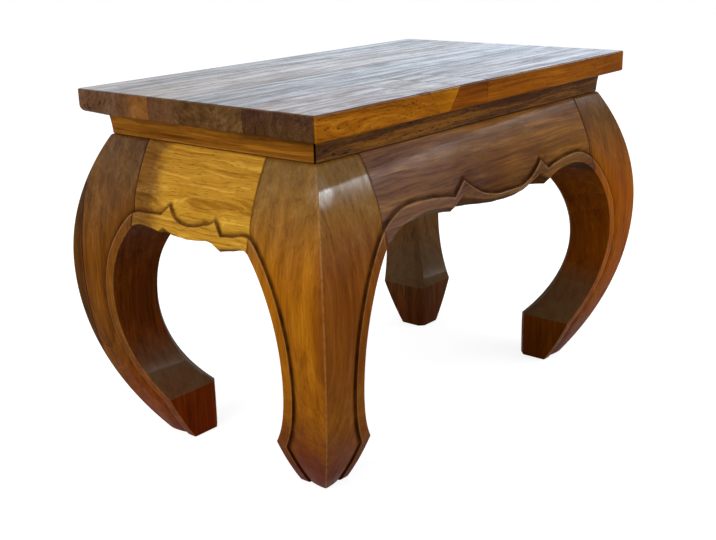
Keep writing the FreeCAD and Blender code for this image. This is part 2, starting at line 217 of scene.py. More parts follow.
def legCarvedGap(inset, z, rise):
    # Distance from the carved line on a leg's face, positive in the field and negative on the rim
    rim = carving["rim"]
    radius, back, centreZ = archFrame(rise)
    lowCentre = legShape["hollowInset"] + lowRadius
    highCentre = legShape["hollowInset"] + highRadius
    low = np.hypot(inset - lowCentre, z - hollowZ) - lowRadius - rim
    low = np.minimum(low, headInset - rim - inset)
    high = np.hypot(inset - highCentre, z - hollowZ) - highRadius - rim
    arch = np.hypot(inset - headInset - back, z - centreZ) - radius - rim
    pastSpoke = (z - hollowZ) * spokeOut > (highCentre - inset) * spokeUp
    return np.where(z < hollowZ, low, np.where(pastSpoke, arch, high))


def carvedDepth(gap):
    # Depth below the full face: nothing on the rim but its rounded lip, a steep wall, a slope that fades out
    lip = carving["lipFall"] * smoothStep(1 + gap / carving["lip"])
    field = carving["depth"] * (1 - np.clip(gap / carving["slope"], 0, 1)) ** carving["slopePower"]
    return np.where(gap > 0, lip + (field - lip) * smoothStep(gap / carving["wall"]), lip)


def seamMask(gap):
    # Where lacquer and dirt gather and shade is painted: 1 at the foot of the wall, fading over the slope and
    # gone on the rim
    inField = fade(gap - ageMarks["seamFrom"], ageMarks["seamInField"])
    return np.where(gap < 0, smoothStep(1 + gap / ageMarks["seamOnRim"]), inField)


def paintedLipHighlight(gap):
    # A painted highlight along the rim's inner edge, fading to both sides
    return ageMarks["paintedLipHighlight"] * fade(np.abs(gap + ageMarks["lipAt"]), ageMarks["lipReach"])


def rimMask(gap):
    # 1 on the rim, rising over 1 mm from the carved line
    return smoothStep(-gap / (1 * mm))


def addSurface(name, grid, masks, nodes, cap=None):
    # A closed ring at each row, joined row to row, with the first and last ring filled whole or by the faces
    # of a cap; the side from which the enclosed volume is positive is made the outside
    rows, ring = grid.shape[:2]
    index = np.arange(rows * ring).reshape(rows, ring)
    after = np.roll(index, -1, axis=1)
    quads = np.stack([index[:-1], after[:-1], after[1:], index[1:]], axis=-1).reshape(-1, 4)
    points = grid.reshape(-1, 3)
    corner = points[quads] - points.mean(0)
    volume = sum((corner[:, 0] * np.cross(corner[:, k], corner[:, k + 1])).sum() for k in (1, 2))
    last = (rows - 1) * ring
    cap = cap or [list(range(ring))]
    faces = quads.tolist() + [face[::-1] for face in cap] + [[last + point for point in face] for face in cap]
    if volume < 0:
        faces = [face[::-1] for face in faces]
    mesh = bpy.data.meshes.new(name)
    mesh.from_pydata(points.tolist(), [], faces)
    for label, parts in masks.items():
        values, marked = np.zeros((rows, ring), np.float32), joinAcross(*parts)
        values[:len(marked)] = marked
        mesh.attributes.new(label, "FLOAT", "POINT").data.foreach_set("value", values.ravel())
    mesh.shade_smooth()
    mesh.set_sharp_from_angle(angle=math.radians(34))
    piece = bpy.data.objects.new(name, mesh)
    bpy.context.scene.collection.objects.link(piece)
    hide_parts(*nodes)
    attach(piece, "root")
    return piece


# Legs

faceSteps = {
    "rim": [0.0, 0.3, 0.6, 0.85, 0.94, 1.0],
    "wall": [0.3, 0.65, 1.0],
    "slope": [0.10, 0.2, 0.32, 0.48, 0.7, 1.0],
    "field": [0.15, 0.3, 0.45, 0.6, 0.75, 0.88, 0.96, 0.99, 1.0],
}
# How much further in than drawn the carver left each leg's toe and hollow
legHand = {
    "front_left": {"toe": 0.0 * mm, "hollow": 0.0 * mm},
    "back_left": {"toe": 6.0 * mm, "hollow": 4.5 * mm},
    "front_right": {"toe": 5.0 * mm, "hollow": 0.0 * mm},
    "back_right": {"toe": 0.0 * mm, "hollow": 0.0 * mm},
}


def legFace(z, rise, edgeRound):
    # Insets across one outer face from its inner edge to the corner, their depths, and their distances from
    # the carved line
    outer = outerInset(z)
    edge = innerInset(z) - edgeRound
    line = np.minimum(legCarvedInset(z, rise)[0], edge - carving["rimLeast"])
    wall = line - carving["wall"]
    slopeEnd = wall - np.minimum(carving["slope"], carving["slopeMost"] * (wall - outer))
    inset = between([edge, line, wall, slopeEnd, outer + legShape["cornerRound"]], faceSteps.values())
    gap = legCarvedGap(inset, z, rise)
    return inset, carvedDepth(gap), gap


def chamferSize(z):
    # Width of the chamfer on the innermost corner, from arcs drawn across the leg's diagonal as in the part
    root = math.sqrt(2)
    crown = root * legShape["hollowInset"] - legShape["innerChamfer"] / root
    toe = root * headInset - legShape["toeChamfer"] / root
    spring = root * headInset - legShape["innerChamfer"] / root
    low = uprightArc(z, crown, hollowZ, toe, toeZ)
    high = uprightArc(z, crown, hollowZ, spring, springZ)
    size = 2 * innerInset(z) - root * np.where(z < hollowZ, low, high)
    return np.where(z < toeZ, legShape["toeChamfer"], np.where(z > springZ, legShape["innerChamfer"], size))


def legSurface(place, sideX, sideY):
    # Rings from the floor to the head, each a square with carved outer faces, then the post inside the neck.
    # A ring's face towards X is called A and its face towards Y is called B.
    rises = [shape["carved"]["archRise"] for shape in (shortApron, longApron)]
    exits = [legCarvedInset(np.zeros(1), rise)[1] for rise in rises]
    stops = [0, toeZ, hollowZ, kneeZ, springZ, *exits, exits[1] + legShape["lastStop"], headZ]
    z = spread(stops, legShape["step"], [toeZ, springZ, *exits])
    nearFoot = legShape["footEase"] * np.array([0.15, 0.5, 1.0])
    nearHead = headZ - legShape["shoulderRound"] * np.array([0.05, 0.2, 0.4, 0.7, 1.0])
    z = np.unique(np.concatenate([z, nearFoot, nearHead]))[:, None]
    outer, inner, chamfer = outerInset(z), innerInset(z), chamferSize(z)
    joint = z > springZ
    edgeRound = np.where(joint, legShape["jointEase"], legShape["edgeRound"])
    (sA, depthA, gapA), (sB, depthB, gapB) = (legFace(z, rise, edgeRound) for rise in rises)
    turn = np.radians([[0, 30, 60, 90]])
    bend = np.radians([[9, 27, 45, 63, 81]])
    corner = legShape["cornerRound"]
    inward = np.linspace(0, 1, 7)[None, :]
    startA, startB = (outer + depth[:, :1] + edgeRound for depth in (depthA, depthB))
    runA, runB = (start + (inner - chamfer - start) * inward for start in (startA, startB))
    # insets from the X line and from the Y line
    a = joinAcross(startA - edgeRound * np.sin(turn), outer + depthA, outer + corner * (1 - np.cos(bend)),
                   sB[:, ::-1], inner - edgeRound * (1 - np.sin(turn)), wide(inner, 7), inner - chamfer / 2,
                   runA[:, ::-1])
    b = joinAcross(inner - edgeRound * (1 - np.cos(turn)), sA, outer + corner * (1 - np.sin(bend)),
                   (outer + depthB)[:, ::-1], startB - edgeRound * np.cos(turn), runB, inner - chamfer / 2,
                   wide(inner, 7))
    # the hand's difference stretches each ring inwards from its outer faces
    hand = legHand[place]
    wholeTo = legShape["handWhole"] * toeZ
    toePart = fade(z - wholeTo, hollowZ - wholeTo)
    hollowPart = np.where(z < hollowZ, 1 - toePart, fade(z - hollowZ, springZ - hollowZ))
    further = 1 + (hand["toe"] * toePart + hand["hollow"] * hollowPart) / (inner - outer)
    a, b = outer + (a - outer) * further, outer + (b - outer) * further
    # the edges of the foot and the head are eased by drawing their rings in
    centre, headEase = (outer + inner) / 2, legShape["headEase"]
    drawnIn = roundDrop(z, legShape["footEase"]) + headEase * smoothStep((z - headZ + headEase) / headEase)
    pull = 1 - drawnIn / (np.abs(inner - outer) / 2)
    a, b = centre + (a - centre) * pull, centre + (b - centre) * pull
    # masks across the same ring: dark lacquer and painted shade by the carved lines, wear and painted
    # highlights on the edges, painted shade on the inner faces
    none, one = 0 * z, 0 * z + 1
    seamA, seamB = (np.maximum(seamMask(gap), joint * fade(inner - s, ageMarks["besideJoint"]))
                    for gap, s in ((gapA, sA), (gapB, sB)))
    wornEdge = wide(np.where(joint, 0.0, ageMarks["legEdge"]), 4)
    jointEdge, arrisWearAndPaintedHighlight, rest = wide(1.0 * joint, 4), one * [ageMarks["legArris"]], wide(none, 15)
    face = sA.shape[1]
    masks = {
        "seam": [jointEdge, seamA, wide(none, 5), seamB[:, ::-1], jointEdge, rest],
        "wearAndPaintedLine": [wornEdge, paintedLipHighlight(gapA), arrisWearAndPaintedHighlight, paintedLipHighlight(gapB)[:, ::-1], wornEdge, rest],
        "inside": [wide(none, 2 * face + 13), wide(one, 15)],
        "rim": [wide(one, 4), rimMask(gapA), wide(none, 5), rimMask(gapB)[:, ::-1], wide(one, 4), rest],
    }
    # the post: the ring's points spread along a square, whose corners are at these places in the ring
    ring = a.shape[1]
    marks = [2, face + 6, 2 * face + 11, 2 * face + 20, ring + 2]
    places = np.arange(ring)
    places = np.where(places < marks[0], places + ring, places)
    post = [np.interp(places, marks, legShape["postInset"] + legShape["postHalf"] * np.array(signs))[None]
            for signs in ((-1, -1, 1, 1, -1), (1, -1, -1, 1, 1))]
    a, b = (np.concatenate([insets, square, square]) for insets, square in zip((a, b), post))
    z = np.concatenate([z, [[headZ], [neckTopZ]]])
    grid = np.stack([sideX * (reachX - a), sideY * (reachY - b), z * np.ones_like(a)], axis=-1)
    return addSurface("leg_" + place + "_carved", grid, masks, ["leg_" + place, "leg_cheek_" + place])


# Aprons

def apronLine(archRise, cusp, end, lobeFall, flatness):
    # One line: an arch, a cusp, a straight to the end beside it, and the middle lobe, whose height goes as
    # |x|^flatness. Falls are in mm below the top of the line's own arch, and shares are of the half span.
    return {"archRise": archRise * mm, "cusp": (cusp[0], cusp[1] * mm), "end": (end[0], end[1] * mm),
            "lobeFall": lobeFall * mm, "flatness": flatness}


longApron = {
    "edge": apronLine(archRise=15.5, cusp=(0.465, 10.0), end=(0.31, 6.5), lobeFall=9.0, flatness=2.0),
    "front": apronLine(archRise=25.5, cusp=(0.465, 9.8), end=(0.38, -1.9), lobeFall=14.5, flatness=2.2),
    "carved": apronLine(archRise=20.5, cusp=(0.465, 7.5), end=(0.385, -8.5), lobeFall=18.8, flatness=2.5),
}
shortApron = {
    "edge": apronLine(archRise=2.5, cusp=(0.53, 4.0), end=(0.36, 0.2), lobeFall=1.5, flatness=2.0),
    "front": apronLine(archRise=6.1, cusp=(0.53, 4.3), end=(0.46, -1.8), lobeFall=2.2, flatness=5.0),
    "carved": apronLine(archRise=5.0, cusp=(0.53, 3.1), end=(0.41, -9.7), lobeFall=4.0, flatness=4.0),
}
apronBody = {
    "inset": 20.0 * mm,
    "edgeRound": 1.2 * mm,
    "edgeLeast": 0.1 * mm,      # the front arris is this sharp where there is no undercut
    "roundFrom": 3.0 * mm,      # and has its whole round where the undercut is this deep
    "undercutLeast": 0.3 * mm,
    "topEase": 0.5 * mm,
    "endEase": 0.6 * mm,
    "shake": 0.16 * mm,         # how unsteady the knife was
    "slopeShare": 0.7,          # how much of the carving's slope its rows follow closely
    "steepest": 2.5,            # the wall's rows allow for a line no steeper than this
    "runOn": 14.0 * mm,         # how far the carved line is followed into the legs
    "step": 1.6 * mm,           # between sections
    "leastStep": 0.08 * mm,
    "fineStep": 0.7 * mm,       # the same round the cusps
    "fineFrom": 0.24,
    "fineTo": 0.56,
    "steps": [faceSteps["rim"], faceSteps["wall"], [0.06, 0.12, 0.2, 0.3, 0.4, 0.55, 0.75, 1.0],
              faceSteps["field"][:-1] + [0.93, 0.96, 0.98, 1.0]],
}
# What the carver's hand did to each line: at a share of the half span, so many mm along and so many up.
# The hidden aprons take the pattern of the ones in front, turned round and weaker.
handCut = {
    "front": {
        "much": 1.0,
        "tintRun": (70 * mm, -170 * mm),   # painted grey sheen towards the left end
        "carved": ((-0.75, 4, 0), (-0.465, 11.6, -0.6), (-0.385, 17.5, -2.5), (0, 13, -1), (0.385, 12, -7),
                   (0.465, 8, -3.5), (0.75, 4, -4)),
        "front": ((-0.75, 4, 0), (-0.465, 7.8, 3), (-0.38, 8.5, 2.5), (0, 10, 0), (0.38, 8.5, -2.5),
                  (0.465, 7.8, -3), (0.75, 4, -1.5)),
        "edge": ((-0.75, 4, -2), (-0.465, 10, 2.5), (-0.31, 10, -1), (0, 10, -4.2), (0.31, 8.5, -6),
                 (0.465, 7.8, -4), (0.75, 4, -1)),
    },
    "left": {
        "much": 1.0,
        "tintRun": (30 * mm, 82 * mm),     # the sapwood turns brown towards this end
        "carved": ((-0.75, -1, -4.5), (-0.53, -2, -4.2), (-0.41, -2, -3), (-0.25, -1, 3), (0, 0, -0.5),
                   (0.41, -4.8, 3), (0.53, -4, 4.9), (0.75, -1, 0.5)),
        "front": ((-0.75, -1, -4.5), (-0.53, 0, -4.5), (-0.46, 9, -1.6), (-0.25, 3, -2.2), (0, 0, -3.8),
                  (0.46, -3, 1), (0.53, -1.5, 1)),
        "edge": ((-0.75, -1, -4), (-0.53, 4, -6), (-0.36, 4, 2), (0, 0, 1), (0.36, -1, -4), (0.53, -1.5, 2),
                 (0.75, -1, 0)),
    },
}
for place, other in (("back", "front"), ("right", "left")):
    turned = {line: tuple((-share, -shift, up) for share, shift, up in reversed(handCut[other][line]))
              for line in shortApron}
    handCut[place] = {"much": -0.5, **turned}


def scallopHeight(x, span, line, offset=0.0):
    # Height of a scalloped line: the arch's circle, an arc down to the cusp, a straight, then the lobe
    radius, back, centreZ = archFrame(line["archRise"])
    side = np.abs(x)
    crownX, crownZ = span - back, centreZ + radius + offset
    (cuspShare, cuspFall), (endShare, endFall), lobe = line["cusp"], line["end"], line["lobeFall"]
    cuspX, endX = cuspShare * span, endShare * span
    circle = centreZ + np.sqrt(np.maximum((radius + offset) ** 2 - (side - crownX) ** 2, 0))
    toCusp = levelArc(side, crownX, crownZ, cuspX, crownZ - cuspFall)
    straight = crownZ - endFall + (side - endX) * (endFall - cuspFall) / (cuspX - endX)
    middle = crownZ - lobe + (lobe - endFall) * (np.minimum(side, endX) / endX) ** line["flatness"]
    inside = np.where(side > endX, straight, middle)
    return np.where(side > crownX, circle, np.where(side > cuspX, toCusp, inside))


def handLine(u, span, line, knots, much, offset=0.0):
    # The line as cut by hand: the drawn line, moved along and up by amounts read between the knots, with none
    # at the ends, and shaken by the sum of two sines
    shares, alongs, ups = (np.array(v, float) for v in zip((-1, 0, 0), *knots, (1, 0, 0)))
    x = u + much * mm * np.interp(u / span, shares, alongs)
    lift = abs(much) * mm * np.interp(u / span, shares, ups)
    hush = np.clip(1 - (u / span) ** 2, 0, 1)
    shake = np.sin(u / (7.3 * mm) + span * 40 + offset * 300) + 0.7 * np.sin(u / (3.9 * mm) + 2 + span * 70)
    return x, scallopHeight(u, span, line, offset) + lift + apronBody["shake"] * hush * shake


def apronSurface(place, along, side, shape, span):
    # Sections across the apron at places along it: carved outer face, flat top, flat inner face, underside
    # and sloping undercut
    hand, rimWidth, topEase = handCut[place], carving["rim"], apronBody["topEase"]
    stops = sorted({0.0, span} | {span * line[key][0] for line in shape.values() for key in ("cusp", "end")})
    crowns = [span - archFrame(line["archRise"])[1] for line in shape.values()]
    half = spread(sorted(stops + crowns), apronBody["step"], stops[1:-1])
    fine = np.arange(apronBody["fineFrom"] * span, apronBody["fineTo"] * span, apronBody["fineStep"])
    half = np.unique(np.round(np.concatenate([half, fine]), 5))
    half = np.concatenate([half[:-1][np.diff(half) > apronBody["leastStep"]], half[-1:]])
    u = np.concatenate([-half[:0:-1], half])[:, None]
    cut = lambda at, line, offset=0.0: handLine(at, span, shape[line], hand[line], hand["much"], offset)
    lowX, low = cut(u, "edge")
    frontX, drawn = cut(u, "front")
    lineX, line = cut(u, "carved", rimWidth)
    # the undercut slopes at 45 degrees, so where the face swells out the front edge lies as much lower
    spring = -outerInset(np.array(springZ))
    front = drawn
    for turn in range(5):
        front = drawn - (spring + outerInset(front))
    frontHere = np.interp(lowX[:, 0], frontX[:, 0], front[:, 0])[:, None]
    low = np.minimum(low, frontHere - apronBody["undercutLeast"])
    steep = np.gradient(line[:, 0], lineX[:, 0])[:, None]
    wall = line + carving["wall"] * np.sqrt(1 + np.minimum(np.abs(steep), apronBody["steepest"]) ** 2)
    slopeEnd = wall + apronBody["slopeShare"] * carving["slope"]
    edge = apronBody["edgeRound"] * smoothStep((front - low) / apronBody["roundFrom"])
    edge = edge + apronBody["edgeLeast"]
    start = front + edge
    one = np.ones_like(u)
    z = between([start, line, wall, slopeEnd, (headZ - topEase) * one], apronBody["steps"])
    x = between([frontX, lineX, lineX, lineX, u], apronBody["steps"])
    # true distance to the carved line, which runs on into the legs
    markX, markZ = cut(np.linspace(-1, 1, 1600) * (span + apronBody["runOn"]), "carved", rimWidth)
    distance = np.stack([np.hypot(markX - rowX[:, None], markZ - rowZ[:, None]).min(1)
                         for rowX, rowZ in zip(x, z)])
    gap = np.where(z > np.interp(x, markX, markZ), distance, -distance)
    fromEnd = span - np.abs(u)
    jointFall = legShape["jointEase"] * fade(fromEnd, apronBody["endEase"])
    face = outerInset(z) + carvedDepth(gap) + jointFall
    # front arris rounded as a curve with its control point on the arris
    atFront = outerInset(front)
    t = np.array([[0.0, 0.25, 0.5, 0.75]])
    slant = 0.7 * edge      # either way along the undercut's 45 degrees
    underB, underZ = atFront + slant, front - slant
    arrisB = (1 - t) ** 2 * underB + 2 * t * (1 - t) * atFront + t ** 2 * outerInset(start) + jointFall
    arrisZ = (1 - t) ** 2 * underZ + 2 * t * (1 - t) * front + t ** 2 * start
    drawnHere = np.interp(lowX[:, 0], frontX[:, 0], drawn[:, 0])[:, None]
    inner = apronBody["inset"] * one
    lowB = np.minimum(np.maximum(-spring + (drawnHere - low), underB + 0.1 * mm), inner - 0.2 * mm)
    downs = np.linspace(0, 1, 6)[None, :]
    backs = np.linspace(0, 1, 5)[None, 1:]
    under = backs[:, :-1]
    b = joinAcross(arrisB, face, outerInset(headZ * one) + topEase, inner - topEase, wide(inner, 6),
                   inner + (lowB - inner) * backs, lowB + (underB - lowB) * under)
    x = joinAcross(wide(frontX, 4), x, u, u, u + (lowX - u) * downs, wide(lowX, 4),
                   lowX + (frontX - lowX) * under)
    z = joinAcross(arrisZ, z, headZ * one, headZ * one, (headZ - topEase) + (low - headZ + topEase) * downs,
                   wide(low, 4), low + (underZ - low) * under)
    joint, none = fade(fromEnd, ageMarks["besideJoint"]), 0 * one
    # inside: painted shade on the inner face and underside
    masks = {
        "seam": [wide(joint, 4), np.maximum(seamMask(gap), joint), wide(joint, 2), wide(none, 13)],
        "wearAndPaintedLine": [wide(ageMarks["apronEdge"] * one, 4), paintedLipHighlight(gap), wide(none, 15)],
        "inside": [wide(none, 4 + gap.shape[1]), wide(one, 15)],
        "rim": [wide(one, 4), rimMask(gap), wide(none, 15)],
    }
    # a tint along the apron: on the left the sapwood turning brown, on the front a painted grey sheen
    if "tintRun" in hand:
        masks["shade"] = [smoothStep((x - hand["tintRun"][0]) / (hand["tintRun"][1] - hand["tintRun"][0]))]
    if along == "x":
        grid = np.stack([x, side * (reachY - b), z], axis=-1)
    else:
        grid = np.stack([side * (reachX - b), x, z], axis=-1)
    return addSurface("apron_" + place + "_carved", grid, masks, ["apron_" + place])


legs = {}
for sideX, across in ((-1, "left"), (1, "right")):
    for sideY, end in ((-1, "front"), (1, "back")):
        legs[end + "_" + across] = legSurface(end + "_" + across, sideX, sideY)
print("legs made")
railSides = {"front": ("x", -1), "back": ("x", 1), "left": ("y", -1), "right": ("y", 1)}
apronSpans = {"x": (longApron, spanX), "y": (shortApron, spanY)}
aprons = {place: apronSurface(place, along, side, *apronSpans[along])
          for place, (along, side) in railSides.items()}
print("aprons made")


# Top boards

boardShape = {
    "planRound": 4.0 * mm,      # upright corners of the whole top
    "ease": 1.8 * mm,           # upper edge
    "underRound": 2.6 * mm,
    "wornRound": 8.5 * mm,      # the underside's edge at the corner that has been knocked about
    "wornReach": 60.0 * mm,
    "lip": 1.8 * mm,            # how far the overhang hangs below the neck's top
    "lipStart": 20.6 * mm,
    "lipRun": 0.6 * mm,
    "jointEase": 0.25 * mm,
    "jointDark": 0.5 * mm,
    "lineAt": 0.5 * mm,         # a painted dark line along the outline, this far in, for the dark reflection of the round
    "lineReach": 0.9 * mm,
    "upperFrom": 0.2 * mm,      # the upper side's own shade fades out from here over this much
    "upperFade": 1.0 * mm,
    "keyUnderWidth": 18.0 * mm,
    "endColour": (0.3 * mm, 6.0 * mm),   # how far the end's own colour reaches on top and below
    "endFade": 0.5 * mm,
    "sideRound": 3.2 * mm,      # the part of a long side's lower edge that the end's colour leaves alone
    "step": 6.0 * mm,
}
# A paler stretch of wood on the left end, with a thin dark line on its near side
paleEnd = {"board": "top_board_middle_back", "line": 57.0 * mm, "width": 30.0 * mm, "much": 0.45,
           "lineDark": 0.6, "lineFade": 0.8 * mm, "farFade": 12.0 * mm}
# Rows near an outer edge, close together where it is rounded, and near a joint
endSteps = {
    True: mm * np.array([0, 0.06, 0.2, 0.45, 0.8, 1.2, 1.7, 2.4, 3.2, 4.2, 5.4, 7, 9, 12, 16, 20, 20.6, 21.2,
                         22]),
    False: mm * np.array([0, 0.12, 0.3, 1.5]),
}
slabLow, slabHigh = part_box("top_board_back")


def nearerEdge(gap, otherGap, counted):
    # Distance to the nearer of two edges, an edge that isn't counted being put a metre further off
    return np.minimum(gap + 1.0 * (not counted[0]), otherGap + 1.0 * (not counted[1]))


def boardSurface(node, ends, outerEnds, outerSides):
    # Sections across the board from one end to the other, with both ends given as places at the top face and
    # at the underside. The outer edges fall as rounds of their distance from the whole top's outline.
    low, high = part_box(node)
    underZ = neckTopZ
    (lowTop, lowUnder), (highTop, highUnder) = ends
    length, width = highTop - lowTop, high.y - low.y
    near, far = (endSteps[outer] for outer in outerEnds)
    middle = np.linspace(near[-1], length - far[-1], max(3, int(length / boardShape["step"])))
    along = np.unique(np.round(np.concatenate([near, middle, length - far]), 7))[:, None]
    innerEnds, innerSides = ([not outer for outer in flags] for flags in (outerEnds, outerSides))
    endGap = nearerEdge(along, length - along, outerEnds)
    fromEnd = nearerEdge(along, length - along, innerEnds)
    near, far = (endSteps[outer] for outer in outerSides)
    across = np.concatenate([near, np.linspace(near[-1], width - far[-1], 12)[1:-1], (width - far)[::-1]])
    if node == paleEnd["board"]:
        marks = paleEnd["line"] + np.array([-1, -0.4, 0, 0.4, 1, 4, 8, 12]) * mm
        across = np.unique(np.concatenate([across, marks - low.y]))
    cut = roundDrop(endGap, boardShape["planRound"])
    lowCut, highCut = (cut * outer for outer in outerSides)
    across = lowCut + across[None, :] * (width - lowCut - highCut) / width
    sideGap = nearerEdge(across, width - across, outerSides)
    jointGap = np.minimum(fromEnd, nearerEdge(across, width - across, innerSides))
    pastEnd, pastSide = boardShape["planRound"] - endGap, boardShape["planRound"] - sideGap
    pastBoth = np.hypot(np.maximum(pastEnd, 0), np.maximum(pastSide, 0))
    edgeGap = boardShape["planRound"] - pastBoth - np.minimum(np.maximum(pastEnd, pastSide), 0)
    topSide = topZ - roundDrop(edgeGap, boardShape["ease"]) - roundDrop(jointGap, boardShape["jointEase"])
    cornerWay = np.hypot(lowTop + along - slabLow.x, low.y + across - slabHigh.y)
    under, worn = boardShape["underRound"], boardShape["wornRound"]
    under = under + (worn - under) * fade(cornerWay, boardShape["wornReach"])
    overhang = fade(edgeGap - boardShape["lipStart"], boardShape["lipRun"])
    underSide = underZ - boardShape["lip"] * overhang + roundDrop(edgeGap, under)
    wallShares = np.linspace(0, 1, 5)[1:-1]
    y = low.y + across
    wallHigh = topSide[:, -1:] + (underSide[:, -1:] - topSide[:, -1:]) * wallShares
    wallLow = underSide[:, :1] + (topSide[:, :1] - underSide[:, :1]) * wallShares
    ys = joinAcross(y, wide(y[:, -1:], 3), y[:, ::-1], wide(y[:, :1], 3))
    zs = joinAcross(topSide, wallHigh, underSide[:, ::-1], wallLow)
    atTop = lowTop + along / length * (highTop - lowTop)
    atUnder = lowUnder + along / length * (highUnder - lowUnder)
    xs = atTop + (atUnder - atTop) * (topZ - zs) / (topZ - underZ)
    count = across.shape[1]
    seamTop = fade(jointGap, boardShape["jointDark"])
    sideSeam = wide(fade(fromEnd, boardShape["jointDark"]), 3)
    seam = joinAcross(seamTop, sideSeam, 0 * seamTop, sideSeam)
    # a painted dark line along the outline, for the dark reflection of the rounded edge
    wearAndPaintedLine = fade(np.abs(edgeGap - boardShape["lineAt"]), boardShape["lineReach"])
    upper = fade(topZ - topSide - boardShape["upperFrom"], boardShape["upperFade"])
    # the end's own colour also covers its rounded lower edge, but not that of the long side
    onTop, below = boardShape["endColour"]
    endReach = np.full_like(zs, onTop)
    endReach[:, count + 3:2 * count + 3] = np.where(sideGap > boardShape["sideRound"], below, onTop)[:, ::-1]
    endMask = fade(endGap - endReach, boardShape["endFade"])
    if node == paleEnd["board"]:
        pastLine = ys - paleEnd["line"]
        pale = smoothStep(pastLine / paleEnd["lineFade"] + 0.5)
        pale = pale * smoothStep((paleEnd["width"] - pastLine) / paleEnd["farFade"] + 0.5)
        line = fade(np.abs(pastLine), paleEnd["lineFade"])
        seam = np.maximum(seam, paleEnd["lineDark"] * endMask * line)
        endMask = endMask * (1 - paleEnd["much"] * pale)
    rest = np.zeros((len(along), count + 6))
    masks = {"seam": [seam], "wearAndPaintedLine": [wearAndPaintedLine, rest], "inside": [endMask], "shade": [upper, rest]}
    # each end is a strip of faces from the points above to those below, so that its masks keep their places
    above = np.arange(count - 1)
    below = 2 * count + 2 - above
    cap = np.stack([above, above + 1, below - 1, below], axis=-1).tolist()
    cap[0] = cap[0] + [2 * count + 3, 2 * count + 4, 2 * count + 5]
    cap[-1] = cap[-1][:2] + [count, count + 1, count + 2] + cap[-1][2:]
    return addSurface(node + "_lacquered", np.stack([xs, ys, zs], axis=-1), masks, [node],
                      cap)


keyLow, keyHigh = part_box("top_board_front_key")
keyMiddle = (keyLow.x + keyHigh.x) / 2
keyLeft = (keyLow.x, keyMiddle - boardShape["keyUnderWidth"] / 2)
keyRight = (keyHigh.x, keyMiddle + boardShape["keyUnderWidth"] / 2)
frontJoint = (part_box("top_board_front_right")[0].x,) * 2
leftEnd, rightEnd = (slabLow.x,) * 2, (slabHigh.x,) * 2
boards = {}
for node, ends, outerEnds, outerSides in (
        ("top_board_back", (leftEnd, rightEnd), (True, True), (False, True)),
        ("top_board_middle_back", (leftEnd, rightEnd), (True, True), (False, False)),
        ("top_board_middle_front", (leftEnd, rightEnd), (True, True), (False, False)),
        ("top_board_front_left", (leftEnd, keyLeft), (True, False), (True, False)),
        ("top_board_front_key", (keyLeft, keyRight), (False, False), (True, False)),
        ("top_board_front_middle", (keyRight, frontJoint), (False, False), (True, False)),
        ("top_board_front_right", (frontJoint, rightEnd), (False, True), (True, False))):
    boards[node] = boardSurface(node, ends, outerEnds, outerSides)
print("boards made")


# Neck rails

neckShape = {
    "lean": 3.2 * mm,           # how much further in the foot of the face is than its head
    "leanPower": 1.4,
    "cove": 0.9 * mm,
    "footRound": 1.4 * mm,
    "headRound": 0.8 * mm,
    "mitreGap": 0.9 * mm,       # the mitres have opened by about this much
    "mitreEase": 0.8 * mm,
    "layIn": 0.2 * mm,          # clearance to the boards and legs
    "headSeam": 2.2 * mm,       # painted shadow under the top and along the foot, dark joints beside the mitres
    "footSeam": 0.7 * mm,
    "footDark": 0.8,
    "wearAndPaintedLine": 0.7,                # light along the foot, this far up
    "lineAt": 1.6 * mm,
    "lineReach": 1.0 * mm,
}


def neckSurface(place, along, side):
    # Sections of one rail at places along it: inset = lean (1 - t)^1.4 + cove sin(pi t), with t from foot to
    # head, rounded at both edges and mitred at the ends
    low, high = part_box("neck_rail_" + place)
    reachAlong, reachAcross = (reachX, reachY) if along == "x" else (reachY, reachX)
    thickness = min(high.x - low.x, high.y - low.y)
    tall = high.z - low.z - neckShape["layIn"]
    t = np.array([[0, 0.008, 0.025, 0.05, 0.1, 0.2, 0.32, 0.45, 0.58, 0.7, 0.82, 0.9, 0.95, 0.975, 0.99, 1]])
    inset = neckShape["lean"] * (1 - t) ** neckShape["leanPower"] + neckShape["cove"] * np.sin(math.pi * t)
    fromFoot, fromHead = t * tall, (1 - t) * tall
    inset = inset + roundDrop(fromFoot, neckShape["footRound"]) + roundDrop(fromHead, neckShape["headRound"])
    near = np.array([0, 0.1, 0.3, 0.6, 1.0, 1.6, 2.4, 4]) * mm
    length = reachAlong - neckShape["mitreGap"]
    middle = np.linspace(near[-1] - length, length - near[-1], 60)[1:-1]
    u = np.concatenate([near - length, middle, (length - near)[::-1]])[:, None]
    fromEnd = length - np.abs(u)
    outer = inset + neckShape["mitreEase"] * fade(fromEnd, neckShape["mitreEase"])
    ring = joinAcross(outer, np.full((len(u), 2), thickness))
    z = low.z + neckShape["layIn"] / 2 + tall * joinAcross(t, [[1.0, 0.0]]) * np.ones_like(ring)
    x = u * (length - ring) / length
    body = side * (reachAcross - ring)
    grid = np.stack([x, body, z] if along == "x" else [body, x, z], axis=-1)
    # painted shadow under the top and along the foot, dark joints at the mitres
    footSeam = neckShape["footDark"] * fade(fromFoot, neckShape["footSeam"])
    edges = np.maximum(fade(fromHead, neckShape["headSeam"]), footSeam)
    seam = np.maximum(edges, fade(fromEnd, ageMarks["besideJoint"]))
    wearAndPaintedLine = neckShape["wearAndPaintedLine"] * fade(np.abs(fromFoot - neckShape["lineAt"]), neckShape["lineReach"])
    wearAndPaintedLine = wearAndPaintedLine * np.ones_like(u)
    none = np.zeros((len(u), 2))
    masks = {"seam": [seam, none], "wearAndPaintedLine": [wearAndPaintedLine, none], "inside": [0 * seam, none + 1]}
    return addSurface("neck_rail_" + place + "_coved", grid, masks, ["neck_rail_" + place])


neck = {place: neckSurface(place, *sides) for place, sides in railSides.items()}
print("neck made")


# Wood and lacquer

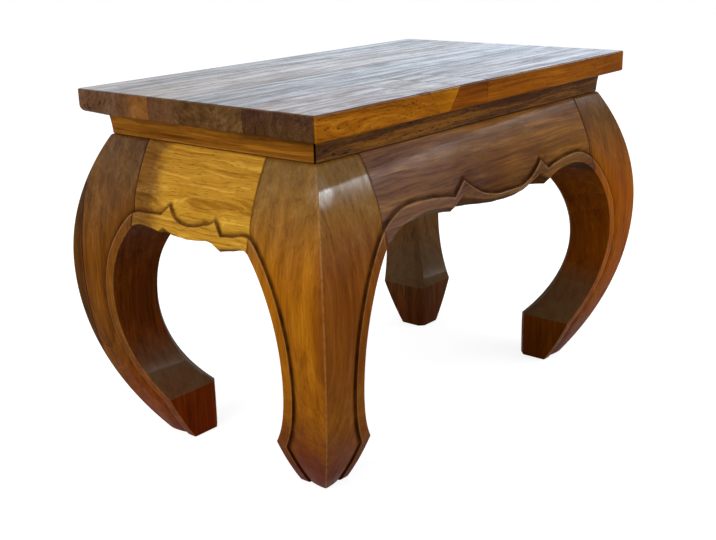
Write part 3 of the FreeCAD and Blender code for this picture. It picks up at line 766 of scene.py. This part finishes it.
def addNode(tree, kind, inputs=None, **settings):
    # One node with its settings, each input linked from a socket or set to a value
    node = tree.nodes.new("ShaderNode" + kind)
    for key, value in settings.items():
        setattr(node, key, value)
    for key, value in (inputs or {}).items():
        if isinstance(value, bpy.types.NodeSocket):
            tree.links.new(value, node.inputs[key])
        else:
            node.inputs[key].default_value = value
    return node


def linkAll(tree, outputs, sockets):
    # Each output to the socket of its name
    for label, output in outputs.items():
        tree.links.new(output, sockets[label])


def newMaterial(name, values):
    # A material with these values set on its shader's own sockets
    material = bpy.data.materials.new(name)
    material.use_nodes = True
    sockets = material.node_tree.nodes["Principled BSDF"].inputs
    for label, value in values.items():
        sockets[label].default_value = value
    return material, material.node_tree, sockets


def addMath(tree, operation, *values, clamp=False):
    # One sum, product or other operation on one to three values
    return addNode(tree, "Math", dict(enumerate(values)), operation=operation, use_clamp=clamp).outputs[0]


def addScaled(tree, value, share, base):
    # base + share * value
    return addMath(tree, "MULTIPLY_ADD", value, share, base)


def addVector(tree, operation, first, second):
    # One operation on two vectors
    return addNode(tree, "VectorMath", {0: first, 1: second}, operation=operation).outputs[0]


def addRange(tree, value, low, high, toLow=0.0, toHigh=1.0):
    # Smooth step of a value from one range to another
    inputs = {"Value": value, "From Min": low, "From Max": high, "To Min": toLow, "To Max": toHigh}
    return addNode(tree, "MapRange", inputs, interpolation_type="SMOOTHSTEP").outputs["Result"]


def addMix(tree, share, first, second, blend="MIX"):
    # Colour mix; sockets 6 and 7 are the two colours
    inputs = {0: share, 6: first, 7: second}
    return addNode(tree, "Mix", inputs, data_type="RGBA", blend_type=blend).outputs[2]


def addNoise(tree, place, stretch, detail=2.0, roughness=0.5, output=0):
    # Noise in coordinates stretched by so many cycles a metre along and across the grain
    inputs = {"Vector": addVector(tree, "MULTIPLY", place, stretch), "Scale": 1.0, "Detail": detail,
              "Roughness": roughness}
    return addNode(tree, "TexNoise", inputs).outputs[output]


def newGroup(name, inputs, outputs):
    # A node group with its sockets, given as kind: names; an input is a link or one of a wood's values
    group = bpy.data.node_groups.new(name, "ShaderNodeTree")
    for side, sockets in (("INPUT", inputs), ("OUTPUT", outputs)):
        for kind, labels in sockets.items():
            for label in labels.split():
                group.interface.new_socket(name=label, in_out=side, socket_type="NodeSocket" + kind)
    return group, group.nodes.new("NodeGroupInput").outputs, group.nodes.new("NodeGroupOutput").inputs


def woodGroup():
    # Grain along X: yearly rings round an axis, long streaks, broad patches, fibres and short dark pores
    group, given, made = newGroup("grain of wood", {
        "Vector": "place", "Color": "dark middle light patch",
        "Float": "ringWidth wander rings patches pores"},
        {"Color": "colour", "Float": "streaks height"})
    place = given["place"]
    drift = addNoise(group, place, (3.0, 12.0, 12.0), 3.0, 0.6, "Color")
    drift = addVector(group, "SUBTRACT", drift, (0.5, 0.5, 0.5))
    drift = addNode(group, "VectorMath", {0: drift, "Scale": given["wander"]}, operation="SCALE").outputs[0]
    bent = addVector(group, "ADD", place, drift)
    # at scale 1 a wave's rings lie 0.314 m apart
    pitch = addMath(group, "DIVIDE", 0.314, given["ringWidth"])
    rings = addNode(group, "TexWave", {"Vector": bent, "Scale": pitch, "Distortion": 0.0}, wave_type="RINGS",
                    rings_direction="X", wave_profile="SAW").outputs["Fac"]
    rings = addMath(group, "POWER", rings, 1.6)
    streaks = addRange(group, addNoise(group, bent, (5.0, 95.0, 95.0), 4.0, 0.62), 0.33, 0.67)
    fine = addRange(group, addNoise(group, bent, (14.0, 420.0, 420.0), 3.0, 0.6), 0.34, 0.66)
    patches = addRange(group, addNoise(group, bent, (7.0, 17.0, 17.0)), 0.42, 0.66)
    dashes = addRange(group, addNoise(group, bent, (90.0, 1100.0, 1100.0), 1.0), 0.60, 0.68)
    ringPart = addMath(group, "MULTIPLY", addMath(group, "SUBTRACT", rings, 0.4), given["rings"])
    tone = addScaled(group, streaks, 0.62, addMath(group, "MULTIPLY", fine, 0.38))
    tone = addMath(group, "ADD", tone, ringPart, clamp=True)
    lower = addMix(group, addRange(group, tone, 0.0, 0.5), given["dark"], given["middle"])
    colour = addMix(group, addRange(group, tone, 0.5, 1.0), lower, given["light"])
    patchShare = addMath(group, "MULTIPLY", patches, given["patches"])
    colour = addMix(group, patchShare, colour, given["patch"], "MULTIPLY")
    poreShare = addMath(group, "MULTIPLY", dashes, given["pores"])
    colour = addMix(group, poreShare, colour, (0.012, 0.006, 0.003, 1))
    height = addScaled(group, fine, 0.55, addMath(group, "MULTIPLY", poreShare, -0.8))
    height = addScaled(group, streaks, 0.45, height)
    streaks = addScaled(group, streaks, 0.75, addMath(group, "MULTIPLY", fine, 0.25))
    linkAll(group, {"colour": colour, "streaks": streaks, "height": height}, made)
    return group


def ageGroup():
    # Lacquer, age and painted light: dark lacquer and painted shade in the grooves and joints, light worn
    # arrises with painted highlights, a painted dark line on the top's edge, painted shade on inner faces, a
    # painted grey sheen where they look up, and sheen where a face looks up
    group, given, made = newGroup("lacquer, age and painted light", {
        "Vector": "place rubbed", "Color": "colour groove worn inner rim shade",
        "Float": "height sheen sheenUp sheenStreaks streaks rubbedReach"},
        {"Color": "colour", "Float": "sheen roughness height"})
    mark = {label: addNode(group, "Attribute", attribute_name=label).outputs["Fac"]
            for label in ("seam", "wearAndPaintedLine", "inside", "rim", "shade")}
    place = given["place"]
    smudge = addRange(group, addNoise(group, place, (38.0, 38.0, 38.0), 3.0, 0.6), 0.35, 0.65)
    broken = addRange(group, addNoise(group, place, (160.0, 160.0, 160.0), 2.0, 0.6), 0.38, 0.55)
    colour = addMix(group, mark["rim"], given["colour"], given["rim"], "MULTIPLY")
    ragged = addScaled(group, addMath(group, "SUBTRACT", smudge, 0.5), 0.25, mark["shade"])
    colour = addMix(group, addRange(group, ragged, 0.15, 0.85), colour, given["shade"], "MULTIPLY")
    # light edges from wear and painted highlights, and a painted dark line along the top's edge
    worn = addMath(group, "MULTIPLY", mark["wearAndPaintedLine"], addScaled(group, broken, 0.35, 0.25))
    colour = addMix(group, worn, colour, given["worn"])
    # dark lacquer and dirt in grooves and joints, painted shade in the grooves and under the top
    dirtAndPaintedShade = addMath(group, "MULTIPLY", mark["seam"], addScaled(group, smudge, 0.3, 0.58))
    colour = addMix(group, dirtAndPaintedShade, colour, given["groove"])
    # painted shade on inner faces and undersides; on a board's ends the end's own colour
    colour = addMix(group, mark["inside"], colour, given["inner"], "MULTIPLY")
    # a painted grey sheen on what looks up inside, such as the upper side of the toes
    up = addNode(group, "SeparateXYZ", {0: addNode(group, "NewGeometry").outputs["Normal"]}).outputs["Z"]
    paintedSheen = addMath(group, "MULTIPLY", mark["inside"], addRange(group, up, 0.2, 0.5))
    paintedSheen = addMath(group, "MULTIPLY", paintedSheen, addScaled(group, given["streaks"], 0.4, 0.5))
    colour = addMix(group, paintedSheen, colour, (0.115, 0.066, 0.03, 1))
    sheen = addScaled(group, addRange(group, up, 0.02, 0.5), given["sheenUp"], given["sheen"])
    sheen = addMath(group, "MULTIPLY", sheen, addScaled(group, smudge, 0.5, 0.6))
    sheen = addMath(group, "MULTIPLY", sheen, addScaled(group, mark["seam"], -0.85, 1.0))
    sheen = addMath(group, "MULTIPLY", sheen, addScaled(group, mark["inside"], -0.85, 1.0), clamp=True)
    # a place rubbed to a shine
    away = addNode(group, "VectorMath", {0: place, 1: given["rubbed"]}, operation="DISTANCE").outputs["Value"]
    rubbed = addRange(group, addMath(group, "DIVIDE", away, given["rubbedReach"]), 0.35, 1.0, 1.0, 0.0)
    rubbed = addMath(group, "MULTIPLY", rubbed, addScaled(group, broken, 0.4, 0.6))
    sheen = addMath(group, "MAXIMUM", sheen, rubbed)
    dull = addMath(group, "SUBTRACT", 1.0, given["streaks"])
    dull = addMath(group, "MULTIPLY", dull, given["sheenStreaks"])
    sheen = addMath(group, "MULTIPLY", sheen, addMath(group, "SUBTRACT", 1.0, dull), clamp=True)
    rough = addScaled(group, smudge, 0.12, 0.36)
    rough = addMath(group, "MULTIPLY_ADD", mark["seam"], 0.3, rough, clamp=True)
    height = addScaled(group, smudge, 0.5, given["height"])
    linkAll(group, {"colour": colour, "sheen": sheen, "roughness": rough, "height": height}, made)
    return group


def heightGroup():
    # Colour that changes with height: a tint at the foot and one at the shoulder, each fading over its reach;
    # on the legs the shoulder's tint is a painted greyer, bluer sheen
    group, given, made = newGroup("tint by height", {
        "Vector": "place", "Color": "colour foot head", "Float": "footReach headFrom"}, {"Color": "colour"})
    ragged = addNoise(group, given["place"], (9.0, 9.0, 3.0), 3.0, 0.55)
    z = addNode(group, "SeparateXYZ", {0: given["place"]}).outputs["Z"]
    z = addScaled(group, addMath(group, "SUBTRACT", ragged, 0.5), 0.12, z)
    foot = addMath(group, "SUBTRACT", 1.0, addRange(group, z, 0.0, given["footReach"]))
    colour = addMix(group, foot, given["colour"], given["foot"], "MULTIPLY")
    head = addRange(group, z, given["headFrom"], addMath(group, "ADD", given["headFrom"], 0.11))
    group.links.new(addMix(group, head, colour, given["head"], "MULTIPLY"), made["colour"])
    return group


def cheekGroup():
    # The thin outer piece of a leg past its glue line: its own tint, and a dark line where the glue shows
    group, given, made = newGroup("glued cheek", {
        "Vector": "place", "Color": "colour cheek", "Float": "glue glueLine blend"}, {"Color": "colour"})
    y = addNode(group, "SeparateXYZ", {0: given["place"]}).outputs["Y"]
    past = addMath(group, "SUBTRACT", addMath(group, "ABSOLUTE", y), given["glueLine"])
    cheek = addRange(group, past, -0.4 * mm, given["blend"])
    colour = addMix(group, cheek, given["colour"], given["cheek"], "MULTIPLY")
    line = addRange(group, addMath(group, "ABSOLUTE", past), 0.3 * mm, 1.4 * mm, 1.0, 0.0)
    line = addMath(group, "MULTIPLY", line, given["glue"])
    group.links.new(addMix(group, line, colour, (0.02, 0.008, 0.003, 1)), made["colour"])
    return group


grainOfWood, lacquerAgeAndPaintedLight, tintByHeight, gluedCheek = woodGroup(), ageGroup(), heightGroup(), cheekGroup()
grainTurn = {"x": (0, 0, 0), "y": (0, 0, -math.pi / 2), "z": (0, math.pi / 2, 0)}


def addGroup(tree, group, wood, **linked):
    # A shared group, whose inputs are the links given, or else the wood's values of the same names
    node = addNode(tree, "Group", node_tree=group)
    for socket in node.inputs:
        if socket.name in linked:
            tree.links.new(linked[socket.name], socket)
        else:
            value = wood[socket.name]
            socket.default_value = (*value, 1) if socket.type == "RGBA" else value
    return node.outputs


# What a wood has unless it says otherwise. Lengths are in metres.
plainWood = {
    "grain": "x",                                  # the way the grain runs
    "heart": (0.3, 0.06, -0.09),                   # moves the pattern, so that no two pieces are alike
    "dark": (0.10, 0.035, 0.008), "middle": (0.22, 0.085, 0.015), "light": (0.34, 0.15, 0.03),
    "patch": (0.6, 0.5, 0.4), "patches": 0.6,      # tint of broad patches, and how strong they are
    "rings": 0.35, "ringWidth": 0.007, "wander": 0.03, "pores": 0.22,
    "groove": (0.03, 0.009, 0.003),                # dark lacquer in grooves and joints, and painted shade in the grooves
    "worn": (0.38, 0.19, 0.06),                    # arrises rubbed light, and painted highlights along edges
    # the inner tint paints shade on inner faces and undersides, and on a board is its ends' own colour
    "inner": (0.45, 0.38, 0.3),                    # tints of the inner faces or a board's ends, the rim,
    "rim": (1, 1, 1), "shade": (0.4, 0.35, 0.5),   # and the part that a mask shades
    "sheen": 0.0, "sheenUp": 0.4,                  # gloss lacquer all over, and more where a face looks up
    "sheenStreaks": 0.15, "gloss": 0.12, "bump": 0.22,
    "rubbed": (0, 0, -1), "rubbedReach": 0.01,     # a place rubbed to a shine
    "glueLine": reachY + 19.0 * mm, "blend": 0.6 * mm,
}


def woodMaterial(name, *changes):
    # A lacquered wood from the shared groups, with this piece's own values
    wood = dict(plainWood)
    for change in changes:
        wood.update(change)
    values = {"Specular IOR Level": 0.012, "Coat Roughness": wood["gloss"]}
    material, tree, sockets = newMaterial(name, values)
    place = addNode(tree, "TexCoord").outputs["Object"]
    turned = addNode(tree, "Mapping", {"Vector": place, "Location": wood["heart"],
                                       "Rotation": grainTurn[wood["grain"]]}).outputs[0]
    grain = addGroup(tree, grainOfWood, wood, place=turned)
    colour = grain["colour"]
    for label, group in (("foot", tintByHeight), ("cheek", gluedCheek)):
        if label in wood:
            colour = addGroup(tree, group, wood, place=place, colour=colour)["colour"]
    age = addGroup(tree, lacquerAgeAndPaintedLight, wood, place=place, colour=colour, height=grain["height"],
                   streaks=grain["streaks"])
    bump = {"Height": age["height"], "Strength": wood["bump"], "Distance": 0.4 * mm}
    bump = addNode(tree, "Bump", bump).outputs[0]
    linkAll(tree, {"Base Color": age["colour"], "Roughness": age["roughness"], "Coat Weight": age["sheen"],
                   "Normal": bump}, sockets)
    return material


def dress(piece, material):
    # The piece's only material
    piece.data.materials.clear()
    piece.data.materials.append(material)


def dressAll(pieces, title, shared, woods):
    # Each piece in a wood of its own, with what all of them share
    for place, values in woods.items():
        dress(pieces[place], woodMaterial(title.format(place.replace("_", " ")), shared, values))


# On the legs the inner tint is painted shade on the inner faces, and the light edge colour is wear with
# painted highlights
allLegs = {
    "grain": "z", "rings": 0.22, "ringWidth": 0.009, "patch": (0.78, 0.68, 0.5), "patches": 0.5,
    "inner": (0.78, 0.54, 0.4), "worn": (0.44, 0.22, 0.07), "sheenUp": 0.36, "gloss": 0.07,
    "footReach": 0.15, "headFrom": 0.235,
}
# The legs' head tints paint a greyer, bluer sheen on the upper swell
legWood = {
    "front_left": {
        "heart": (0.3, 0.11, 0.21), "dark": (0.27, 0.085, 0.003), "middle": (0.37, 0.125, 0.004),
        "light": (0.46, 0.17, 0.008), "head": (0.6, 0.84, 4.0), "foot": (0.34, 0.13, 0.1),
        "cheek": (0.67, 0.56, 1.3), "glue": 0.0, "blend": 0.016,
        "rubbed": (-0.285, -0.17, 0.343), "rubbedReach": 0.026},
    "back_left": {
        "heart": (0.52, -0.03, 0.33), "dark": (0.11, 0.034, 0.003), "middle": (0.18, 0.058, 0.005),
        "light": (0.26, 0.09, 0.009), "head": (0.72, 0.95, 2.4), "foot": (1.1, 0.62, 0.25),
        "cheek": (0.58, 0.62, 0.9), "glue": 0.9},
    "front_right": {
        "heart": (0.81, 0.13, -0.2), "dark": (0.23, 0.052, 0.002), "middle": (0.34, 0.082, 0.002),
        "light": (0.44, 0.12, 0.004), "inner": (0.52, 0.5, 0.4), "sheenUp": 0.12,
        "head": (0.46, 0.74, 3.2), "foot": (0.46, 0.42, 0.3), "cheek": (1.0, 1.0, 1.0), "glue": 0.0},
    "back_right": {
        "heart": (1.1, -0.1, -0.31), "dark": (0.12, 0.076, 0.03), "middle": (0.2, 0.132, 0.058),
        "light": (0.28, 0.19, 0.088), "head": (0.42, 0.47, 0.6), "foot": (0.6, 0.34, 0.25),
        "cheek": (1.0, 1.0, 1.0), "glue": 0.3},
}
dressAll(legs, "leg wood {}", allLegs, legWood)
apronWood = {
    "left": {
        "grain": "y", "heart": (0.2, 0.09, -0.4), "dark": (0.34, 0.145, 0.01), "middle": (0.54, 0.27, 0.024),
        "light": (0.7, 0.4, 0.05), "patch": (0.75, 0.6, 0.5), "patches": 0.35, "wander": 0.05,
        "ringWidth": 0.005, "pores": 0.4, "sheenUp": 0.08, "groove": (0.07, 0.018, 0.004),
        "shade": (0.4, 0.34, 0.6)},
    "front": {
        "grain": "x", "heart": (0.65, 0.13, -0.42), "dark": (0.12, 0.045, 0.012),
        "middle": (0.19, 0.075, 0.016), "light": (0.3, 0.12, 0.018),
        "patch": (0.5, 0.42, 0.7), "patches": 0.85, "rings": 0.15,
        # the shade tint here is a painted grey-blue sheen towards the left end
        "sheenUp": 0.13, "sheenStreaks": 0.5, "shade": (1.0, 1.2, 3.2),
        "head": (1.3, 1.25, 1.0), "headFrom": 0.285, "foot": (1, 1, 1), "footReach": 0.1},
    "back": {
        "grain": "x", "heart": (1.4, -0.2, -0.42), "dark": (0.09, 0.04, 0.012),
        "middle": (0.19, 0.085, 0.022), "light": (0.3, 0.14, 0.035)},
    "right": {
        "grain": "y", "heart": (0.9, 0.12, -0.4), "dark": (0.17, 0.07, 0.012), "middle": (0.3, 0.14, 0.02),
        "light": (0.42, 0.21, 0.035)},
}
dressAll(aprons, "apron wood {}", {}, apronWood)
hiddenNeck = {"dark": (0.1, 0.04, 0.01), "middle": (0.17, 0.07, 0.015), "light": (0.26, 0.11, 0.02)}
neckWood = {
    "left": {
        "grain": "y", "heart": (0.3, 0.05, -0.33), "dark": (0.13, 0.046, 0.005),
        "middle": (0.26, 0.092, 0.007), "light": (0.4, 0.155, 0.015)},
    "front": {
        "grain": "x", "heart": (0.8, 0.22, -0.34), "dark": (0.07, 0.03, 0.013),
        "middle": (0.13, 0.053, 0.018), "light": (0.33, 0.125, 0.02), "pores": 0.9},
    "right": {"grain": "y", "heart": (1.3, 0.2, -0.35), **hiddenNeck},
    "back": {"grain": "x", "heart": (1.7, -0.1, -0.33), **hiddenNeck},
}
dressAll(neck, "neck wood {}", {"sheenUp": 0.02}, neckWood)
allBoards = {
    "dark": (0.08, 0.034, 0.013), "ringWidth": 0.006, "rings": 0.28, "pores": 0.35, "bump": 0.15,
    "sheenUp": 1.25, "sheenStreaks": 0.66, "shade": (0.24, 0.26, 0.5), "groove": (0.03, 0.014, 0.007),
    # the edge colour here is a painted dark reflection along the top's upper edge
    "worn": (0.06, 0.03, 0.015),
}
boardWood = {
    "top_board_back": {
        "heart": (0.2, -0.2, -0.47), "middle": (0.2, 0.09, 0.034), "light": (0.28, 0.13, 0.05),
        "inner": (0.75, 0.82, 1.1)},
    "top_board_middle_back": {
        "heart": (1.2, -0.08, -0.36), "dark": (0.28, 0.1, 0.014), "middle": (0.4, 0.15, 0.022),
        "light": (0.5, 0.2, 0.03), "inner": (0.36, 0.42, 1.1), "patches": 0.2, "rings": 0.1},
    "top_board_middle_front": {
        "heart": (2.3, 0.04, -0.46), "dark": (0.08, 0.033, 0.012), "middle": (0.15, 0.067, 0.024),
        "light": (0.24, 0.11, 0.042), "inner": (0.88, 0.95, 0.85)},
    "top_board_front_left": {
        "heart": (3.1, 0.2, -0.38), "dark": (0.24, 0.068, 0.003), "middle": (0.41, 0.128, 0.005),
        "light": (0.57, 0.205, 0.012), "wander": 0.08, "pores": 0.6, "inner": (0.22, 0.3, 2.2)},
    "top_board_front_key": {
        "heart": (4.2, 0.24, -0.45), "dark": (0.37, 0.12, 0.003), "middle": (0.5, 0.17, 0.004),
        "light": (0.6, 0.23, 0.01)},
    "top_board_front_middle": {
        "heart": (5.3, 0.19, -0.36), "dark": (0.18, 0.046, 0.002), "middle": (0.32, 0.086, 0.003),
        "light": (0.45, 0.13, 0.006)},
    "top_board_front_right": {
        "heart": (6.1, 0.21, -0.46), "dark": (0.2, 0.052, 0.002), "middle": (0.32, 0.088, 0.003),
        "light": (0.45, 0.14, 0.006)},
}
dressAll(boards, "{} wood", allBoards, boardWood)
dowelWood = {
    "dark": (0.4, 0.26, 0.13), "middle": (0.55, 0.38, 0.2), "light": (0.66, 0.48, 0.27), "sheenUp": 0.0,
}
dowelMaterial = woodMaterial("dowel wood", dowelWood)
for node in ("neck_dowels", "top_edge_dowels"):
    dress(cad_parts[node], dowelMaterial)


def screwMetal():
    # Zinc-plated steel: brushed roughness and small pits from noise
    material, tree, sockets = newMaterial("screw metal", {"Metallic": 1.0})
    place = addNode(tree, "TexCoord").outputs["Object"]
    brushed = addRange(tree, addNoise(tree, place, (300.0, 2600.0, 300.0), 3.0, 0.6), 0.3, 0.7)
    pits = addRange(tree, addNoise(tree, place, (900.0, 900.0, 900.0)), 0.5, 0.75)
    colour = addMix(tree, pits, (0.56, 0.56, 0.54, 1), (0.3, 0.28, 0.25, 1))
    rough = addScaled(tree, brushed, 0.22, 0.26)
    bump = addNode(tree, "Bump", {"Height": brushed, "Strength": 0.2, "Distance": 0.1 * mm}).outputs[0]
    linkAll(tree, {"Base Color": colour, "Roughness": rough, "Normal": bump}, sockets)
    return material


dress(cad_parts["top_screws"], screwMetal())
print("wood and metal made")


# Camera, floor and light

cameraPlace = {
    "at": (-1.01777, -0.83298, 0.57592),
    "azimuth": -49.633,
    "elevation": 17.493,
    "roll": -1.505,
    "lens": 54.57,
}
lampTarget = (0, 0, 0.25)
# A lamp that isn't glossy stays out of reflections. A fade has the lamp's axis, its bright end and a power.
lamps = {
    "left window": {
        "at": (-2.6, 0.2, 1.5), "size": (2.6, 2.0), "power": 46, "colour": (1.0, 0.98, 0.95),
        "glossy": False},
    "right softbox": {
        "at": (1.5, -1.75, 0.76), "size": (2.2, 0.92), "power": 125, "colour": (0.88, 0.95, 1.0),
        "fade": ("Y", 1.0, 8)},
    "high window": {
        "at": (1.2, -2.4, 2.3), "size": (1.8, 1.4), "power": 14, "colour": (1.0, 1.0, 1.0), "glossy": False},
    "far window": {
        "at": (3.2, 1.7, 0.85), "size": (5.0, 1.6), "power": 40, "colour": (0.45, 0.7, 1.0),
        "fade": ("X", 0.0, 1.0)},
    "ceiling": {
        "at": (0.0, 0.2, 2.6), "size": (1.8, 1.8), "power": 14, "colour": (1.0, 1.0, 1.0), "glossy": False},
}
surroundings = {
    "floor": (0.5, 0.5, 0.5),
    "floorReach": 6,
    "lift": 0.8,                # how much of white the floor gives off to the camera
    "fill": 0.4,                # strength and colour of the level light from all sides
    "fillColour": (0.97, 0.98, 1),
}


def addObject(name, data):
    # An object in the scene that holds a mesh, a lamp or a camera
    holder = bpy.data.objects.new(name, data)
    bpy.context.scene.collection.objects.link(holder)
    return holder


def addCamera():
    # The camera at its place, turned to its azimuth, raised and rolled
    azimuth, elevation, roll = (math.radians(cameraPlace[way]) for way in ("azimuth", "elevation", "roll"))
    camera = bpy.data.cameras.new("camera")
    camera.lens = cameraPlace["lens"]
    camera.sensor_width = 36
    holder = addObject("camera", camera)
    look = Matrix.Rotation(azimuth, 4, "Z") @ Matrix.Rotation(math.pi / 2 - elevation, 4, "X")
    holder.matrix_world = Matrix.Translation(cameraPlace["at"]) @ look @ Matrix.Rotation(roll, 4, "Z")
    bpy.context.scene.camera = holder


def addLamp(name, values):
    # A rectangle of light aimed at the middle of the table
    lamp = bpy.data.lights.new(name, "AREA")
    lamp.shape = "RECTANGLE"
    lamp.size, lamp.size_y = values["size"]
    lamp.energy = values["power"]
    lamp.color = values["colour"]
    if "fade" in values:
        # the strength falls from one side of the lamp as a power of the distance to the other
        axis, brightEnd, power = values["fade"]
        lamp.use_nodes = True
        tree = lamp.node_tree
        spot = addNode(tree, "NewGeometry").outputs["Parametric"]
        spot = addNode(tree, "SeparateXYZ", {0: spot}).outputs[axis]
        away = addMath(tree, "ABSOLUTE", addMath(tree, "SUBTRACT", spot, 1.0 - brightEnd))
        tree.links.new(addMath(tree, "POWER", away, power), tree.nodes["Emission"].inputs["Strength"])
    holder = addObject(name, lamp)
    holder.visible_camera = False
    holder.visible_glossy = values.get("glossy", True)
    aim = Vector(lampTarget) - Vector(values["at"])
    holder.matrix_world = Matrix.Translation(values["at"]) @ aim.to_track_quat("-Z", "Y").to_matrix().to_4x4()


def addSeenDirectly(tree):
    # 1 for what the camera sees, also in a mirror or through glass
    path = addNode(tree, "LightPath").outputs
    seen = path["Is Camera Ray"]
    for label in ("Is Glossy Ray", "Is Transmission Ray"):
        seen = addMath(tree, "MAXIMUM", seen, path[label])
    return seen


def addWorld():
    # White for what the camera and mirrors see, a plain level for what lights the table
    world = bpy.data.worlds.new("studio")
    bpy.context.scene.world = world
    world.use_nodes = True
    tree = world.node_tree
    tree.nodes.clear()
    fillColour = (*surroundings["fillColour"], 1)
    fill = addNode(tree, "Background", {"Color": fillColour, "Strength": surroundings["fill"]}).outputs[0]
    white = addNode(tree, "Background", {"Color": (1, 1, 1, 1), "Strength": 1.0}).outputs[0]
    mix = addNode(tree, "MixShader", {0: addSeenDirectly(tree), 1: fill, 2: white}).outputs[0]
    addNode(tree, "OutputWorld", {"Surface": mix})


def addFloor():
    # A flat square that the camera sees lifted to near white, and that keeps the table's shadow
    reach = surroundings["floorReach"]
    mesh = bpy.data.meshes.new("floor")
    mesh.from_pydata([(-reach, -reach, 0), (reach, -reach, 0), (reach, reach, 0), (-reach, reach, 0)], [],
                     [(0, 1, 2, 3)])
    material, tree, sockets = newMaterial("pale floor", {
        "Base Color": (*surroundings["floor"], 1), "Roughness": 0.9, "Specular IOR Level": 0.0,
        "Emission Color": (1, 1, 1, 1)})
    lift = addMath(tree, "MULTIPLY", addSeenDirectly(tree), surroundings["lift"])
    linkAll(tree, {"Emission Strength": lift}, sockets)
    mesh.materials.append(material)
    addObject("floor", mesh)


addCamera()
bpy.context.scene.view_settings.view_transform = "Standard"
for name, values in lamps.items():
    addLamp(name, values)
addWorld()
addFloor()
print("camera, lamps and floor made")
